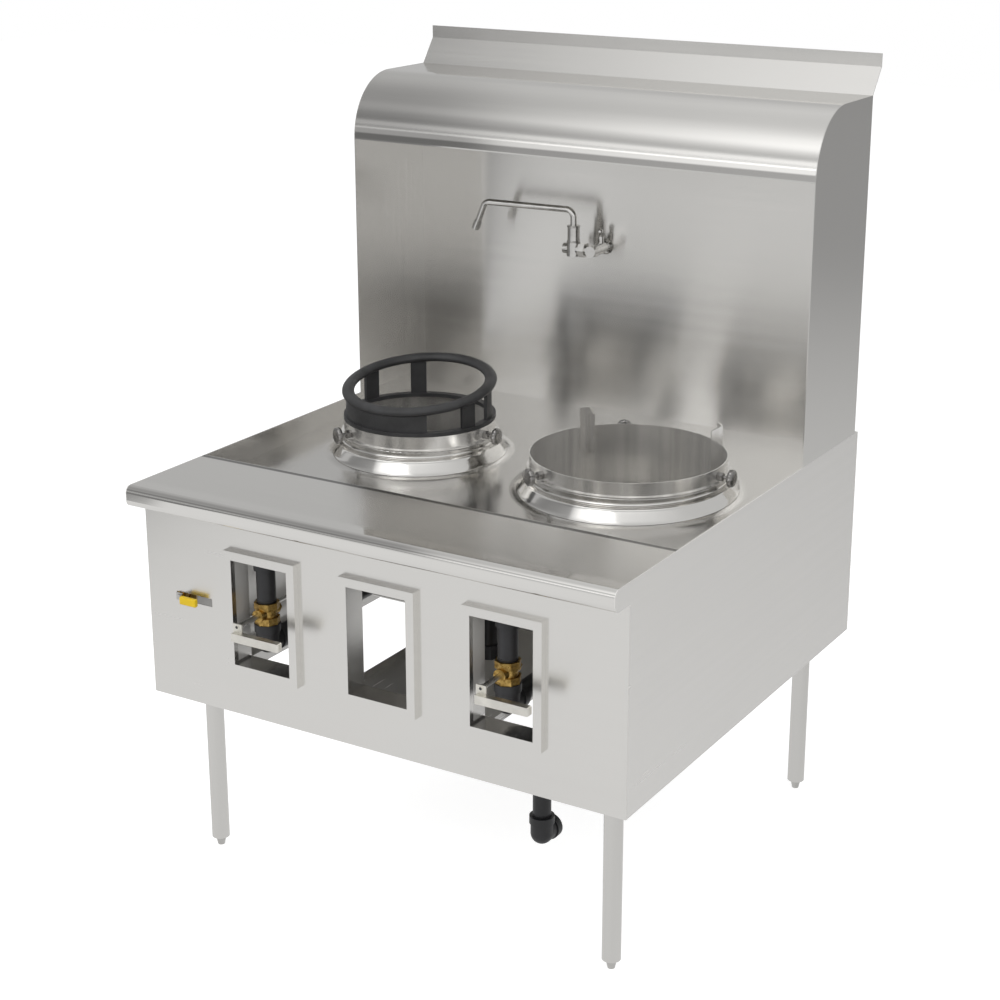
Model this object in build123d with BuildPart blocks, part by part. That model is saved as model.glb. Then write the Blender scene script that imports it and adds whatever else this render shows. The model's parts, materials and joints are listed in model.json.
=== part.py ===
from build123d import *
from math import cos, radians, sin
import os

os.makedirs("parts", exist_ok=True)

# Two-chamber wok range, millimetres, +Z up.  The floor is z = 0, x = 0 is the middle of
# the range, and y = 0 is half way between the valve handles and the rear flashing.

# ---------------------------------------------------------------- driving dimensions
# Body
range_width = 1219.2
cabinet_depth = 1160.0
cabinet_height = 510.0
underside_height = 417.0
sheet = 2.0
flange_width = 25.0
corner_gap = 27.0

# Front ledge with its rolled nose
ledge_depth = 208.0
nose_reach = 60.0
nose_height = 48.0
nose_radius = 16.0
ledge_flange = 20.0

# Recessed deck
deck_front_drop = 58.0
deck_rear_drop = 38.0
collar_height = 52.0
collar_wall = 5.0
collar_fillet = 40.0
collar_round = 2.0

# Chambers (fire pots)
chamber_y = 626.5
chamber_left_x = -291.9
chamber_right_x = 271.4
chamber_left_radius = 181.4
chamber_right_radius = 223.9
chamber_depth = 257.0
chamber_gap = 1.0
band_height = 34.0
band_flange = 3.0
chamber_floor_hole = 100.0
pilot_hole_radius = 8.0

# Collar clamp screws
screw_angles = (0, 120, 240)
screw_lift = 15.0
knob_radius = 17.0
knob_thickness = 10.0
knob_reach = 38.0
screw_boss_radius = 10.0
screw_boss_length = 12.0
screw_shank_radius = 4.0
curved_gap = 0.3

# Rear prongs of the right chamber
prong_angles = (45, 143)
prong_leg = 27.0
prong_plate = 4.0
prong_rise = 48.0
prong_slope_rise = 12.0
prong_root = 60.0

# Riser and canopy
riser_front = 828.5
riser_rear = 1140.0
riser_height = 800.0
canopy_radius = 152.0
canopy_bottom = 645.0
canopy_hem = 24.0
splash_front = 1127.6
flashing_run = 45.0
flashing_rise = 60.0
flashing_lip = 30.0

# Front windows
window_centres = (("left", -286.9), ("middle", 19.5), ("right", 326.3))
window_width = 150.0
window_height = 245.0
window_sill = 125.1
bezel_border = 20.0
bezel_reach = 14.0
sleeve_depth = 45.0
sleeve_clearance = 0.5

# Slot for the shut-off lever
slot_left = -530.0
slot_width = 100.0
slot_height = 19.0
slot_sill = 242.0

# Base
channel_width = 60.0
channel_height = 30.0
channel_sheet = 3.0
rail_width = 25.0
rail_height = 30.0
rail_front = 60.0
rail_rear_inset = 85.0
pan_half_width = 191.0
pan_wall = 20.0

# Legs and bullet feet
leg_inset_x = 83.0
leg_front = 105.0
leg_rear_inset = 83.0
leg_radius = 20.65
leg_wall = 1.6
leg_fit = 0.1
foot_radius = 11.0
foot_tip_radius = 8.0
foot_height = 22.0
foot_thread_radius = 8.0
foot_engagement = 22.0
foot_travel = 38.0
foot_plug_height = 30.0
foot_fit = 0.06

# Gas pipework
pipe_radius = 21.1
pipe_wall = 3.5
fitting_radius = 26.0
fitting_collar_radius = 29.0
fitting_collar = 18.0
fitting_leg = 44.0
thread_depth = 15.0
pipe_fit = 0.05
manifold_y = 32.0
manifold_drop = 125.0
manifold_left = -335.0
manifold_right = 341.5
manifold_cap = 12.0
boss_radius = 26.0
boss_depth = 38.0
boss_bore = 12.0
hanger_width = 30.0
hanger_height = 26.0
hanger_places = (-150.0, 170.0)
valve_left_x = -303.0
valve_right_x = 315.0
valve_z = 247.0
feed_z = 178.0
supply_x = 226.0
supply_run = 326.0
inlet_z = -282.0
trap_y = 98.0
trap_drop = 149.0
trap_cap = 30.0

# Plug valves
valve_hex_radius = 26.0
valve_hex_height = 16.0
valve_body_radius = 22.0
valve_body_height = 50.0
valve_plug_radius = 14.0
valve_plug_front = 34.0
valve_plug_rear = 30.0
valve_cap_radius = 11.0
valve_cap_length = 10.0
stem_radius = 6.0
stem_fit = 0.05
stem_socket = 18.0
stem_end = 68.0

# Handles of the plug valves
hub_width = 24.0
hub_height = 26.0
hub_drop = 6.0
hub_plate = 4.0
hub_screw_radius = 4.5
hub_screw_head = 2.0
bar_length = 126.0
bar_height = 19.0
bar_thickness = 16.0
bar_drop = 12.0
bar_start = 8.0
bar_end_round = 5.0

# Shut-off valve and lever
shutoff_x = -519.0
shutoff_z = 251.5
shutoff_body_radius = 15.0
shutoff_body_half = 32.0
shutoff_plate_width = 36.0
shutoff_plate_height = 84.0
shutoff_plate_sheet = 3.0
shutoff_neck_radius = 8.0
lever_gap = 3.0
lever_plate = 3.0
lever_width = 17.0
lever_offset = 16.0
lever_hub_length = 17.0
grip_length = 44.0
grip_thickness = 9.0
lever_nut_radius = 6.0

# Pilot tubing
tube_radius = 5.0
pilot_bend = 14.0
tee_radius = 9.0
pilot_run_z = 120.0
pilot_offset_x = 44.0
pilot_offset_y = 122.0
pilot_tip_z = 312.0

# Burners
burner_bowl_radius = 80.0
burner_bowl_bottom = 145.0
burner_bowl_top = 210.0
burner_neck_radius = 60.0
burner_shoulder = 20.0
burner_flange_radius = 118.0
burner_flange = 6.0
burner_head_radius = 92.0
burner_head = 8.0
burner_boss_radius = 28.0
burner_boss_reach = 100.0
stud_radius = 5.0
stud_circle = 110.0
stud_length = 16.0
stud_start = 30.0
jet_radius = 8.0
jet_height = 20.0
jet_outer_circle = 76.0
jet_outer_count = 12
jet_inner_circle = 40.0
jet_inner_count = 6
jet_taper = 12.0

# Faucet
faucet_y = 1060.0
faucet_z = 893.0
faucet_swivel_x = -120.0
faucet_wall_x = -66.0
faucet_arm_radius = 13.0
faucet_block_radius = 17.0
faucet_block_height = 34.0
faucet_nut_x = -101.0
faucet_nut_radius = 19.0
faucet_nut_width = 17.0
faucet_end_overhang = 13.0
faucet_arm_overhang = 26.0
faucet_valve_radius = 14.0
faucet_valve_front = 14.0
faucet_valve_length = 52.0
faucet_shank_radius = 12.0
faucet_lock_nut_radius = 19.0
faucet_lock_nut = 7.0
faucet_tail_radius = 10.65
faucet_tail_length = 20.0
faucet_flange_radius = 20.0
faucet_flange = 6.0
faucet_flange_taper = 40.0
faucet_bonnet_radius = 8.0
faucet_bonnet_height = 22.0
faucet_bonnet_back = 42.0
shank_clearance = 1.0
sleeve_radius = 15.0
sleeve_height = 42.0
swivel_fit = 0.05
spout_radius = 8.0
spout_root_radius = 10.0
spout_root_depth = 28.0
spout_rise = 80.0
spout_reach = 246.0
spout_drop = 50.0
spout_slant = 20.0
spout_bend = 20.0
spout_swing = 4.0
spout_tip_radius = 10.5
spout_tip_length = 22.0
tap_stem_radius = 5.0
tap_stem_fit = 0.05
tap_stem_depth = 8.0
tap_hub_height = 8.0
tap_arm = 17.0
tap_arm_radius = 4.0
tap_arm_lean = 75.0
tap_ball_radius = 7.5

# Cast wok ring on the left chamber
ring_foot_inner = 163.0
ring_foot_outer = 181.0
ring_foot = 9.0
ring_wall_inner = 167.0
ring_wall_outer = 175.0
ring_wall_spans = ((211, 309), (338, 351), (8, 20), (118, 131), (160, 174))
ring_bead_radius = 170.0
ring_bead_half_width = 14.5
ring_bead_half_height = 10.5
ring_tilt = 8.0
ring_centre_rise = 78.7
ring_seat = 0.3

# ---------------------------------------------------------------- derived places
half_width = range_width / 2
leg_rear = cabinet_depth - leg_rear_inset
rail_rear = cabinet_depth - rail_rear_inset
inner_half = half_width - sheet
handle_front = stem_end + bar_thickness
rear_reach = riser_rear + flashing_run
front_y = (handle_front - rear_reach) / 2
base_z = underside_height
top_z = base_z + cabinet_height
riser_top = top_z + riser_height
deck_front_z = top_z - deck_front_drop
deck_rear_z = top_z - deck_rear_drop
deck_rear_y = splash_front + sheet
deck_slope = (deck_rear_z - deck_front_z) / (deck_rear_y - ledge_depth)
collar_top = deck_front_z + deck_slope * (chamber_y - ledge_depth) + collar_height
rim_z = collar_top + band_height
chamber_floor_z = rim_z - chamber_depth
manifold_level = top_z - manifold_drop
pan_z = base_z + sheet + rail_height
tap_x = faucet_wall_x
tap_y = front_y + faucet_y
tap_z = base_z + faucet_z
pilot_y = front_y + chamber_y - pilot_offset_y


def depth(d):
    """Y of a place that lies d behind the face of the front panel."""
    return front_y + d


def deck_z(d):
    """Height of the deck's upper surface at d behind the front panel."""
    return deck_front_z + deck_slope * (d - ledge_depth)


def pilot_x(chamber_x):
    """X of a chamber's pilot tube, which stands towards the middle of the range."""
    return chamber_x + pilot_offset_x if chamber_x < 0 else chamber_x - pilot_offset_x


def save(piece, name):
    piece.part.label = name
    export_step(piece.part, f"parts/{name}.step")


def mirrored(piece):
    """The same piece on the other side of the range."""
    with BuildPart() as twin:
        mirror(piece.part, about=Plane.YZ)
    return twin


# ---------------------------------------------------------------- cabinet
def nose_outline(inset):
    """Rounded cross-section of the nose, drawn in the YZ plane and set in by inset."""
    low = top_z - nose_height + inset
    high = top_z - inset
    front = depth(-nose_reach) + inset
    FilletPolyline(
        (depth(0), low), (front, low), (front, high), (depth(0), high),
        radius=nose_radius - inset,
    )
    Line((depth(0), high), (depth(0), low))


with BuildPart() as side_panel_right:
    with BuildSketch(Plane.YZ.offset(inner_half)):
        with Locations((depth(sheet), base_z)):
            Rectangle(cabinet_depth - sheet, cabinet_height, align=(Align.MIN, Align.MIN))
        with Locations((depth(0), top_z)):
            Rectangle(sheet, nose_height, align=(Align.MIN, Align.MAX))
        with BuildLine():
            nose_outline(0)
        make_face()
    extrude(amount=sheet)
    with BuildSketch(Plane.XY.offset(base_z)):
        with Locations((inner_half, depth(corner_gap))):
            Rectangle(flange_width, cabinet_depth - 2 * corner_gap, align=(Align.MAX, Align.MIN))
    extrude(amount=sheet)
save(side_panel_right, "side_panel_right")
save(mirrored(side_panel_right), "side_panel_left")

panel_top = top_z - sheet
with BuildPart() as front_panel:
    with BuildSketch(Plane.XZ.offset(-depth(0))):
        with Locations((0, base_z)):
            Rectangle(range_width, top_z - nose_height - base_z, align=(Align.CENTER, Align.MIN))
        with Locations((0, panel_top)):
            Rectangle(2 * inner_half, nose_height, align=(Align.CENTER, Align.MAX))
        for _, window_x in window_centres:
            with Locations((window_x, base_z + window_sill - sheet - sleeve_clearance)):
                Rectangle(
                    window_width + 2 * (sheet + sleeve_clearance),
                    window_height + 2 * (sheet + sleeve_clearance),
                    align=(Align.CENTER, Align.MIN),
                    mode=Mode.SUBTRACT,
                )
        with Locations((slot_left, base_z + slot_sill)):
            Rectangle(slot_width, slot_height, align=(Align.MIN, Align.MIN), mode=Mode.SUBTRACT)
    extrude(amount=-sheet)
    with BuildSketch(Plane.XY.offset(base_z)):
        with Locations((0, depth(sheet))):
            Rectangle(
                2 * (inner_half - corner_gap), flange_width, align=(Align.CENTER, Align.MIN)
            )
    extrude(amount=sheet)
save(front_panel, "front_panel")

with BuildPart() as front_ledge:
    with BuildSketch(Plane.YZ.offset(-inner_half)):
        with BuildLine():
            nose_outline(0)
        make_face()
        with BuildLine():
            nose_outline(sheet)
        make_face(mode=Mode.SUBTRACT)
        with Locations((depth(0), top_z)):
            Rectangle(ledge_depth, sheet, align=(Align.MIN, Align.MAX))
        with Locations((depth(ledge_depth), top_z)):
            Rectangle(sheet, ledge_flange, align=(Align.MAX, Align.MAX))
    extrude(amount=2 * inner_half)
save(front_ledge, "front_ledge")

chambers = (
    ("left", chamber_left_x, chamber_left_radius),
    ("right", chamber_right_x, chamber_right_radius),
)
with BuildPart() as deck:
    wall_front = depth(ledge_depth)
    wall_rear = depth(deck_rear_y)
    rear_lip = depth(cabinet_depth - sheet)
    with BuildSketch(Plane.YZ.offset(-inner_half)):
        with BuildLine():
            Polyline(
                (wall_front, deck_front_z - sheet),
                (wall_front, top_z),
                (wall_front + sheet, top_z),
                (wall_front + sheet, deck_z(ledge_depth + sheet)),
                (wall_rear, deck_rear_z),
                (wall_rear, top_z),
                (rear_lip, top_z),
                (rear_lip, top_z - sheet),
                (wall_rear + sheet, top_z - sheet),
                (wall_rear + sheet, deck_rear_z - sheet),
                close=True,
            )
        make_face()
    extrude(amount=2 * inner_half)
    for wall_x in (-inner_half, inner_half - sheet):
        with BuildSketch(Plane.YZ.offset(wall_x)):
            with BuildLine():
                Polyline(
                    (wall_front, deck_front_z - sheet),
                    (wall_front, top_z),
                    (wall_rear, top_z),
                    (wall_rear, deck_rear_z - sheet),
                    close=True,
                )
            make_face()
        extrude(amount=sheet)
    for _, chamber_x, radius in chambers:
        with BuildSketch(Plane.XY.offset(deck_front_z)):
            with Locations((chamber_x, depth(chamber_y))):
                Circle(radius + chamber_gap + collar_wall)
        extrude(amount=collar_top - deck_front_z)
    seams = deck.edges().filter_by(GeomType.ELLIPSE)
    fillet(
        seams.filter_by(lambda seam: seam.center().Z > deck_z(chamber_y) - sheet / 2),
        radius=collar_fillet,
    )
    rounds = deck.edges().filter_by(GeomType.CIRCLE)
    fillet(
        rounds.filter_by(lambda edge: edge.center().Z > collar_top - sheet / 2),
        radius=collar_round,
    )
    for _, chamber_x, radius in chambers:
        with BuildSketch(Plane.XY.offset(collar_top)):
            with Locations((chamber_x, depth(chamber_y))):
                Circle(radius + chamber_gap)
        extrude(amount=-2 * collar_height, mode=Mode.SUBTRACT)
save(deck, "deck")

with BuildPart() as back_panel:
    with BuildSketch(Plane.XZ.offset(-depth(cabinet_depth - sheet))):
        with Locations((0, base_z)):
            Rectangle(2 * inner_half, cabinet_height, align=(Align.CENTER, Align.MIN))
    extrude(amount=-sheet)
    with BuildSketch(Plane.XY.offset(base_z)):
        with Locations((0, depth(cabinet_depth - sheet))):
            Rectangle(
                2 * (inner_half - corner_gap), flange_width, align=(Align.CENTER, Align.MAX)
            )
    extrude(amount=sheet)
save(back_panel, "back_panel")

# ---------------------------------------------------------------- front windows
for side, window_x in window_centres:
    window_z = base_z + window_sill + window_height / 2
    with BuildPart() as window_frame:
        with BuildSketch(Plane.XZ.offset(-depth(-bezel_reach))):
            with Locations((window_x, window_z)):
                Rectangle(window_width + 2 * bezel_border, window_height + 2 * bezel_border)
                Rectangle(window_width, window_height, mode=Mode.SUBTRACT)
        extrude(amount=-sheet)
        with BuildSketch(Plane.XZ.offset(-depth(-bezel_reach))):
            with Locations((window_x, window_z)):
                Rectangle(window_width + 2 * bezel_border, window_height + 2 * bezel_border)
                Rectangle(
                    window_width + 2 * (bezel_border - sheet),
                    window_height + 2 * (bezel_border - sheet),
                    mode=Mode.SUBTRACT,
                )
        extrude(amount=-bezel_reach)
        with BuildSketch(Plane.XZ.offset(-depth(-bezel_reach))):
            with Locations((window_x, window_z)):
                Rectangle(window_width + 2 * sheet, window_height + 2 * sheet)
            with Locations((window_x, window_z + sheet)):
                Rectangle(window_width, window_height + 2 * sheet, mode=Mode.SUBTRACT)
        extrude(amount=-(bezel_reach + sleeve_depth))
        with BuildSketch(Plane.XZ.offset(-depth(sheet))):
            with Locations((window_x, manifold_level - pipe_radius - sheet)):
                Rectangle(
                    window_width + 2 * bezel_border,
                    2 * pipe_radius,
                    align=(Align.CENTER, Align.MIN),
                )
        extrude(amount=-sleeve_depth, mode=Mode.SUBTRACT)
    save(window_frame, f"window_frame_{side}")

# ---------------------------------------------------------------- base
leg_x = half_width - leg_inset_x
channel_z = base_z + sheet
channel_web = channel_z + channel_height - channel_sheet
with BuildPart() as base_channel_right:
    with BuildSketch(Plane.XY.offset(channel_z)):
        with Locations((leg_x, depth(2 * sheet))):
            Rectangle(channel_width, cabinet_depth - 4 * sheet, align=(Align.CENTER, Align.MIN))
    extrude(amount=channel_height)
    with BuildSketch(Plane.XY.offset(channel_z)):
        with Locations((leg_x, depth(2 * sheet))):
            Rectangle(
                channel_width - 2 * channel_sheet,
                cabinet_depth - 4 * sheet,
                align=(Align.CENTER, Align.MIN),
            )
    extrude(amount=channel_height - channel_sheet, mode=Mode.SUBTRACT)
    with BuildSketch(Plane.XY.offset(channel_z)):
        with Locations((leg_x, depth(leg_front)), (leg_x, depth(leg_rear))):
            Rectangle(channel_width - 2 * channel_sheet, channel_width - 2 * channel_sheet)
            Circle(leg_radius + leg_fit, mode=Mode.SUBTRACT)
    extrude(amount=channel_height - channel_sheet)
save(base_channel_right, "base_channel_right")
save(mirrored(base_channel_right), "base_channel_left")

rail_length = 2 * (leg_x - channel_width / 2)
with BuildPart() as cross_rails:
    for rail_y in (rail_front, rail_rear):
        with BuildSketch(Plane.XY.offset(channel_z)):
            with Locations((0, depth(rail_y))):
                Rectangle(rail_length, rail_width, align=(Align.CENTER, Align.MIN))
        extrude(amount=rail_height)
save(cross_rails, "cross_rails")

with BuildPart() as bottom_pan:
    pan_length = rail_rear + rail_width - rail_front
    with BuildSketch(Plane.XY.offset(pan_z)):
        with Locations((0, depth(rail_front))):
            Rectangle(2 * pan_half_width, pan_length, align=(Align.CENTER, Align.MIN))
    extrude(amount=pan_wall)
    with BuildSketch(Plane.XY.offset(pan_z + sheet)):
        with Locations((0, depth(rail_front + sheet))):
            Rectangle(
                2 * (pan_half_width - sheet),
                pan_length - 2 * sheet,
                align=(Align.CENTER, Align.MIN),
            )
    extrude(amount=pan_wall, mode=Mode.SUBTRACT)
save(bottom_pan, "bottom_pan")

# ---------------------------------------------------------------- legs and feet
corners = (
    ("front_left", -leg_x, leg_front),
    ("front_right", leg_x, leg_front),
    ("rear_left", -leg_x, leg_rear),
    ("rear_right", leg_x, leg_rear),
)
plug_hole = foot_thread_radius + foot_fit
screw_top = foot_height + foot_travel + foot_engagement
for corner, corner_x, corner_y in corners:
    with BuildPart() as leg:
        with BuildSketch(Plane.XY.offset(foot_height)):
            with Locations((corner_x, depth(corner_y))):
                Circle(leg_radius)
                Circle(plug_hole, mode=Mode.SUBTRACT)
        extrude(amount=channel_web - foot_height)
        with BuildSketch(Plane.XY.offset(foot_height + foot_plug_height)):
            with Locations((corner_x, depth(corner_y))):
                Circle(leg_radius - leg_wall)
        extrude(amount=channel_web - foot_height - foot_plug_height, mode=Mode.SUBTRACT)
    save(leg, f"leg_{corner}")

    with BuildPart() as foot:
        with BuildSketch(Plane.XZ.offset(-depth(corner_y))):
            with BuildLine():
                Polyline(
                    (corner_x, 0),
                    (corner_x + foot_tip_radius, 0),
                    (corner_x + foot_radius, foot_height - foot_tip_radius),
                    (corner_x + foot_radius, foot_height),
                    (corner_x + foot_thread_radius, foot_height),
                    (corner_x + foot_thread_radius, screw_top),
                    (corner_x, screw_top),
                    close=True,
                )
            make_face()
        revolve(axis=Axis((corner_x, depth(corner_y), 0), (0, 0, 1)))
    save(foot, f"foot_{corner}")

# ---------------------------------------------------------------- riser, splash and canopy
canopy_low = top_z + canopy_bottom
arc_z = riser_top - canopy_radius
back_y = depth(riser_rear - sheet)


def canopy_curve(inset):
    """Front edge and rounded top of the riser, inset from its outer face."""
    front = depth(riser_front) + inset
    high = riser_top - inset
    bend_y = depth(riser_front) + canopy_radius
    Line((front, canopy_low), (front, arc_z))
    CenterArc((bend_y, arc_z), canopy_radius - inset, 90, 90)
    Line((bend_y, high), (back_y, high))


with BuildPart() as riser_side_right:
    with BuildSketch(Plane.YZ.offset(inner_half)):
        with BuildLine():
            canopy_curve(0)
            Polyline(
                (back_y, riser_top),
                (back_y + sheet, riser_top),
                (back_y + sheet, top_z),
                (depth(riser_front), top_z),
                (depth(riser_front), canopy_low),
            )
        make_face()
    extrude(amount=sheet)
save(riser_side_right, "riser_side_right")
save(mirrored(riser_side_right), "riser_side_left")

with BuildPart() as canopy:
    with BuildSketch(Plane.YZ.offset(-inner_half)):
        with BuildLine():
            canopy_curve(0)
            Line((back_y, riser_top), (back_y, riser_top - sheet))
            canopy_curve(sheet)
            Line((depth(riser_front) + sheet, canopy_low), (depth(riser_front), canopy_low))
        make_face()
        with Locations((depth(riser_front), canopy_low)):
            Rectangle(canopy_hem, sheet, align=(Align.MIN, Align.MIN))
    extrude(amount=2 * inner_half)
save(canopy, "canopy")

splash_low = deck_z(splash_front + sheet)
with BuildPart() as back_splash:
    with BuildSketch(Plane.XZ.offset(-depth(splash_front))):
        with Locations((0, splash_low)):
            Rectangle(
                2 * (inner_half - sheet), top_z - splash_low, align=(Align.CENTER, Align.MIN)
            )
        with Locations((0, top_z)):
            Rectangle(
                2 * inner_half, riser_top - sheet - top_z, align=(Align.CENTER, Align.MIN)
            )
        with Locations((tap_x, tap_z)):
            Circle(faucet_shank_radius + shank_clearance, mode=Mode.SUBTRACT)
    extrude(amount=-sheet)
save(back_splash, "back_splash")

with BuildPart() as riser_back:
    flash_y = back_y + flashing_run
    flash_z = riser_top + flashing_rise
    with BuildSketch(Plane.XZ.offset(-back_y)):
        with Locations((0, top_z)):
            Rectangle(2 * inner_half, riser_height, align=(Align.CENTER, Align.MIN))
        with Locations((tap_x, tap_z)):
            Circle(faucet_shank_radius + shank_clearance, mode=Mode.SUBTRACT)
    extrude(amount=-sheet)
    with BuildSketch(Plane.YZ.offset(-half_width)):
        with BuildLine():
            Polyline(
                (back_y, riser_top),
                (flash_y, flash_z),
                (flash_y, flash_z + flashing_lip),
                (flash_y + sheet, flash_z + flashing_lip),
                (flash_y + sheet, flash_z),
                (back_y + sheet, riser_top),
                close=True,
            )
        make_face()
    extrude(amount=range_width)
save(riser_back, "riser_back")

# ---------------------------------------------------------------- chambers
for side, chamber_x, radius in chambers:
    axis = Axis((chamber_x, depth(chamber_y), 0), (0, 0, 1))
    with BuildPart() as chamber:
        with BuildSketch(Plane.XZ.offset(-depth(chamber_y))):
            with BuildLine():
                Polyline(
                    (chamber_x + chamber_floor_hole, chamber_floor_z),
                    (chamber_x + radius, chamber_floor_z),
                    (chamber_x + radius, collar_top),
                    (chamber_x + radius + chamber_gap + collar_wall, collar_top),
                    (chamber_x + radius + chamber_gap + collar_wall, collar_top + band_flange),
                    (chamber_x + radius, collar_top + band_flange),
                    (chamber_x + radius, rim_z),
                    (chamber_x + radius - sheet, rim_z),
                    (chamber_x + radius - sheet, chamber_floor_z + sheet),
                    (chamber_x + chamber_floor_hole, chamber_floor_z + sheet),
                    close=True,
                )
            make_face()
        revolve(axis=axis)
        with BuildSketch(Plane.XY.offset(chamber_floor_z)):
            with Locations((pilot_x(chamber_x), pilot_y)):
                Circle(pilot_hole_radius)
        extrude(amount=sheet, mode=Mode.SUBTRACT)
        if side == "right":
            for angle in prong_angles:
                outward = Vector(cos(radians(angle)), sin(radians(angle)), 0)
                rim_centre = (chamber_x, depth(chamber_y), rim_z)
                place = Plane(rim_centre, x_dir=outward)
                wall = radius - sheet
                with BuildSketch(Plane(rim_centre, x_dir=outward, z_dir=-place.y_dir)):
                    with BuildLine():
                        Polyline(
                            (wall - prong_leg, -prong_root),
                            (wall - prong_leg, prong_rise - prong_slope_rise),
                            (wall, prong_rise),
                            (wall, -prong_root),
                            close=True,
                        )
                    make_face()
                extrude(amount=prong_plate)
                with BuildSketch(place.offset(-prong_root)):
                    with Locations((wall - prong_plate, -prong_plate)):
                        Rectangle(prong_plate, prong_leg, align=(Align.MIN, Align.MIN))
                extrude(amount=prong_root + prong_rise)
    save(chamber, f"chamber_{side}")

    # Clamp screws round the band: a boss on the band and a thumb knob on a shank.
    with BuildPart() as collar_screws:
        for angle in screw_angles:
            outward = (cos(radians(angle)), sin(radians(angle)), 0)
            boss_start = radius + curved_gap
            centre = (chamber_x, depth(chamber_y), collar_top + screw_lift)
            place = Plane(origin=centre, x_dir=(0, 0, 1), z_dir=outward)
            with BuildSketch(place.offset(boss_start)):
                RegularPolygon(screw_boss_radius, 6)
            extrude(amount=screw_boss_length)
            with BuildSketch(place.offset(boss_start)):
                Circle(screw_shank_radius)
            extrude(amount=knob_reach - knob_thickness)
            with BuildSketch(place.offset(radius + knob_reach - knob_thickness)):
                Circle(knob_radius)
            extrude(amount=knob_thickness)
    save(collar_screws, f"collar_screws_{side}")

# ---------------------------------------------------------------- burners
flange_z = chamber_floor_z - stud_length
for side, chamber_x, feed_x in (
    ("left", chamber_left_x, valve_left_x),
    ("right", chamber_right_x, valve_right_x),
):
    centre_y = depth(chamber_y)
    bowl_low = base_z + burner_bowl_bottom
    bowl_high = base_z + burner_bowl_top
    head_z = flange_z + burner_head
    with BuildPart() as burner:
        with BuildSketch(Plane.XZ.offset(-centre_y)):
            with BuildLine():
                Polyline(
                    (chamber_x, bowl_low),
                    (chamber_x + burner_bowl_radius, bowl_low),
                    (chamber_x + burner_bowl_radius, bowl_high),
                    (chamber_x + burner_neck_radius, bowl_high + burner_shoulder),
                    (chamber_x + burner_neck_radius, flange_z - burner_flange),
                    (chamber_x + burner_flange_radius, flange_z - burner_flange),
                    (chamber_x + burner_flange_radius, flange_z),
                    (chamber_x + burner_head_radius, flange_z),
                    (chamber_x + burner_head_radius, head_z),
                    (chamber_x, head_z),
                    close=True,
                )
            make_face()
        revolve(axis=Axis((chamber_x, centre_y, 0), (0, 0, 1)))
        boss_plane = Plane.XZ.offset(-(centre_y - burner_boss_reach))
        with BuildSketch(boss_plane):
            with Locations((feed_x, base_z + feed_z)):
                Circle(burner_boss_radius)
        extrude(amount=-burner_boss_reach)
        with BuildSketch(boss_plane):
            with Locations((feed_x, base_z + feed_z)):
                Circle(pipe_radius + pipe_fit)
        extrude(amount=-thread_depth, mode=Mode.SUBTRACT)
        for ring_radius, count in (
            (jet_outer_circle, jet_outer_count),
            (jet_inner_circle, jet_inner_count),
        ):
            with BuildSketch(Plane.XY.offset(head_z)):
                with Locations((chamber_x, centre_y)):
                    with PolarLocations(ring_radius, count):
                        Circle(jet_radius)
            extrude(amount=jet_height, taper=jet_taper)
    save(burner, f"burner_{side}")

with BuildPart() as burner_studs:
    for _, chamber_x, _ in chambers:
        with BuildSketch(Plane.XY.offset(flange_z)):
            with Locations((chamber_x, depth(chamber_y))):
                with PolarLocations(stud_circle, 3, start_angle=stud_start):
                    Circle(stud_radius)
        extrude(amount=stud_length)
save(burner_studs, "burner_studs")


# ---------------------------------------------------------------- pipework
def pipe(start, end, radius=pipe_radius, wall=pipe_wall):
    """A straight hollow pipe between two points."""
    run = Vector(*end) - Vector(*start)
    place = Plane(origin=start, z_dir=run)
    with BuildPart() as piece:
        with BuildSketch(place):
            Circle(radius)
            Circle(radius - wall, mode=Mode.SUBTRACT)
        extrude(amount=run.length)
    return piece


def elbow(corner, first, second):
    """A malleable elbow: two collared legs from one corner, each with a pipe socket."""
    with BuildPart() as piece:
        with Locations(corner):
            Sphere(fitting_radius)
        for way in (first, second):
            place = Plane(origin=corner, z_dir=way)
            with BuildSketch(place):
                Circle(fitting_radius)
            extrude(amount=fitting_leg)
            with BuildSketch(place.offset(fitting_leg - fitting_collar)):
                Circle(fitting_collar_radius)
            extrude(amount=fitting_collar)
            with BuildSketch(place.offset(fitting_leg)):
                Circle(pipe_radius + pipe_fit)
            extrude(amount=-thread_depth, mode=Mode.SUBTRACT)
            with BuildSketch(place):
                Circle(pipe_radius - pipe_wall)
            extrude(amount=fitting_leg, mode=Mode.SUBTRACT)
    return piece


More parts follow.
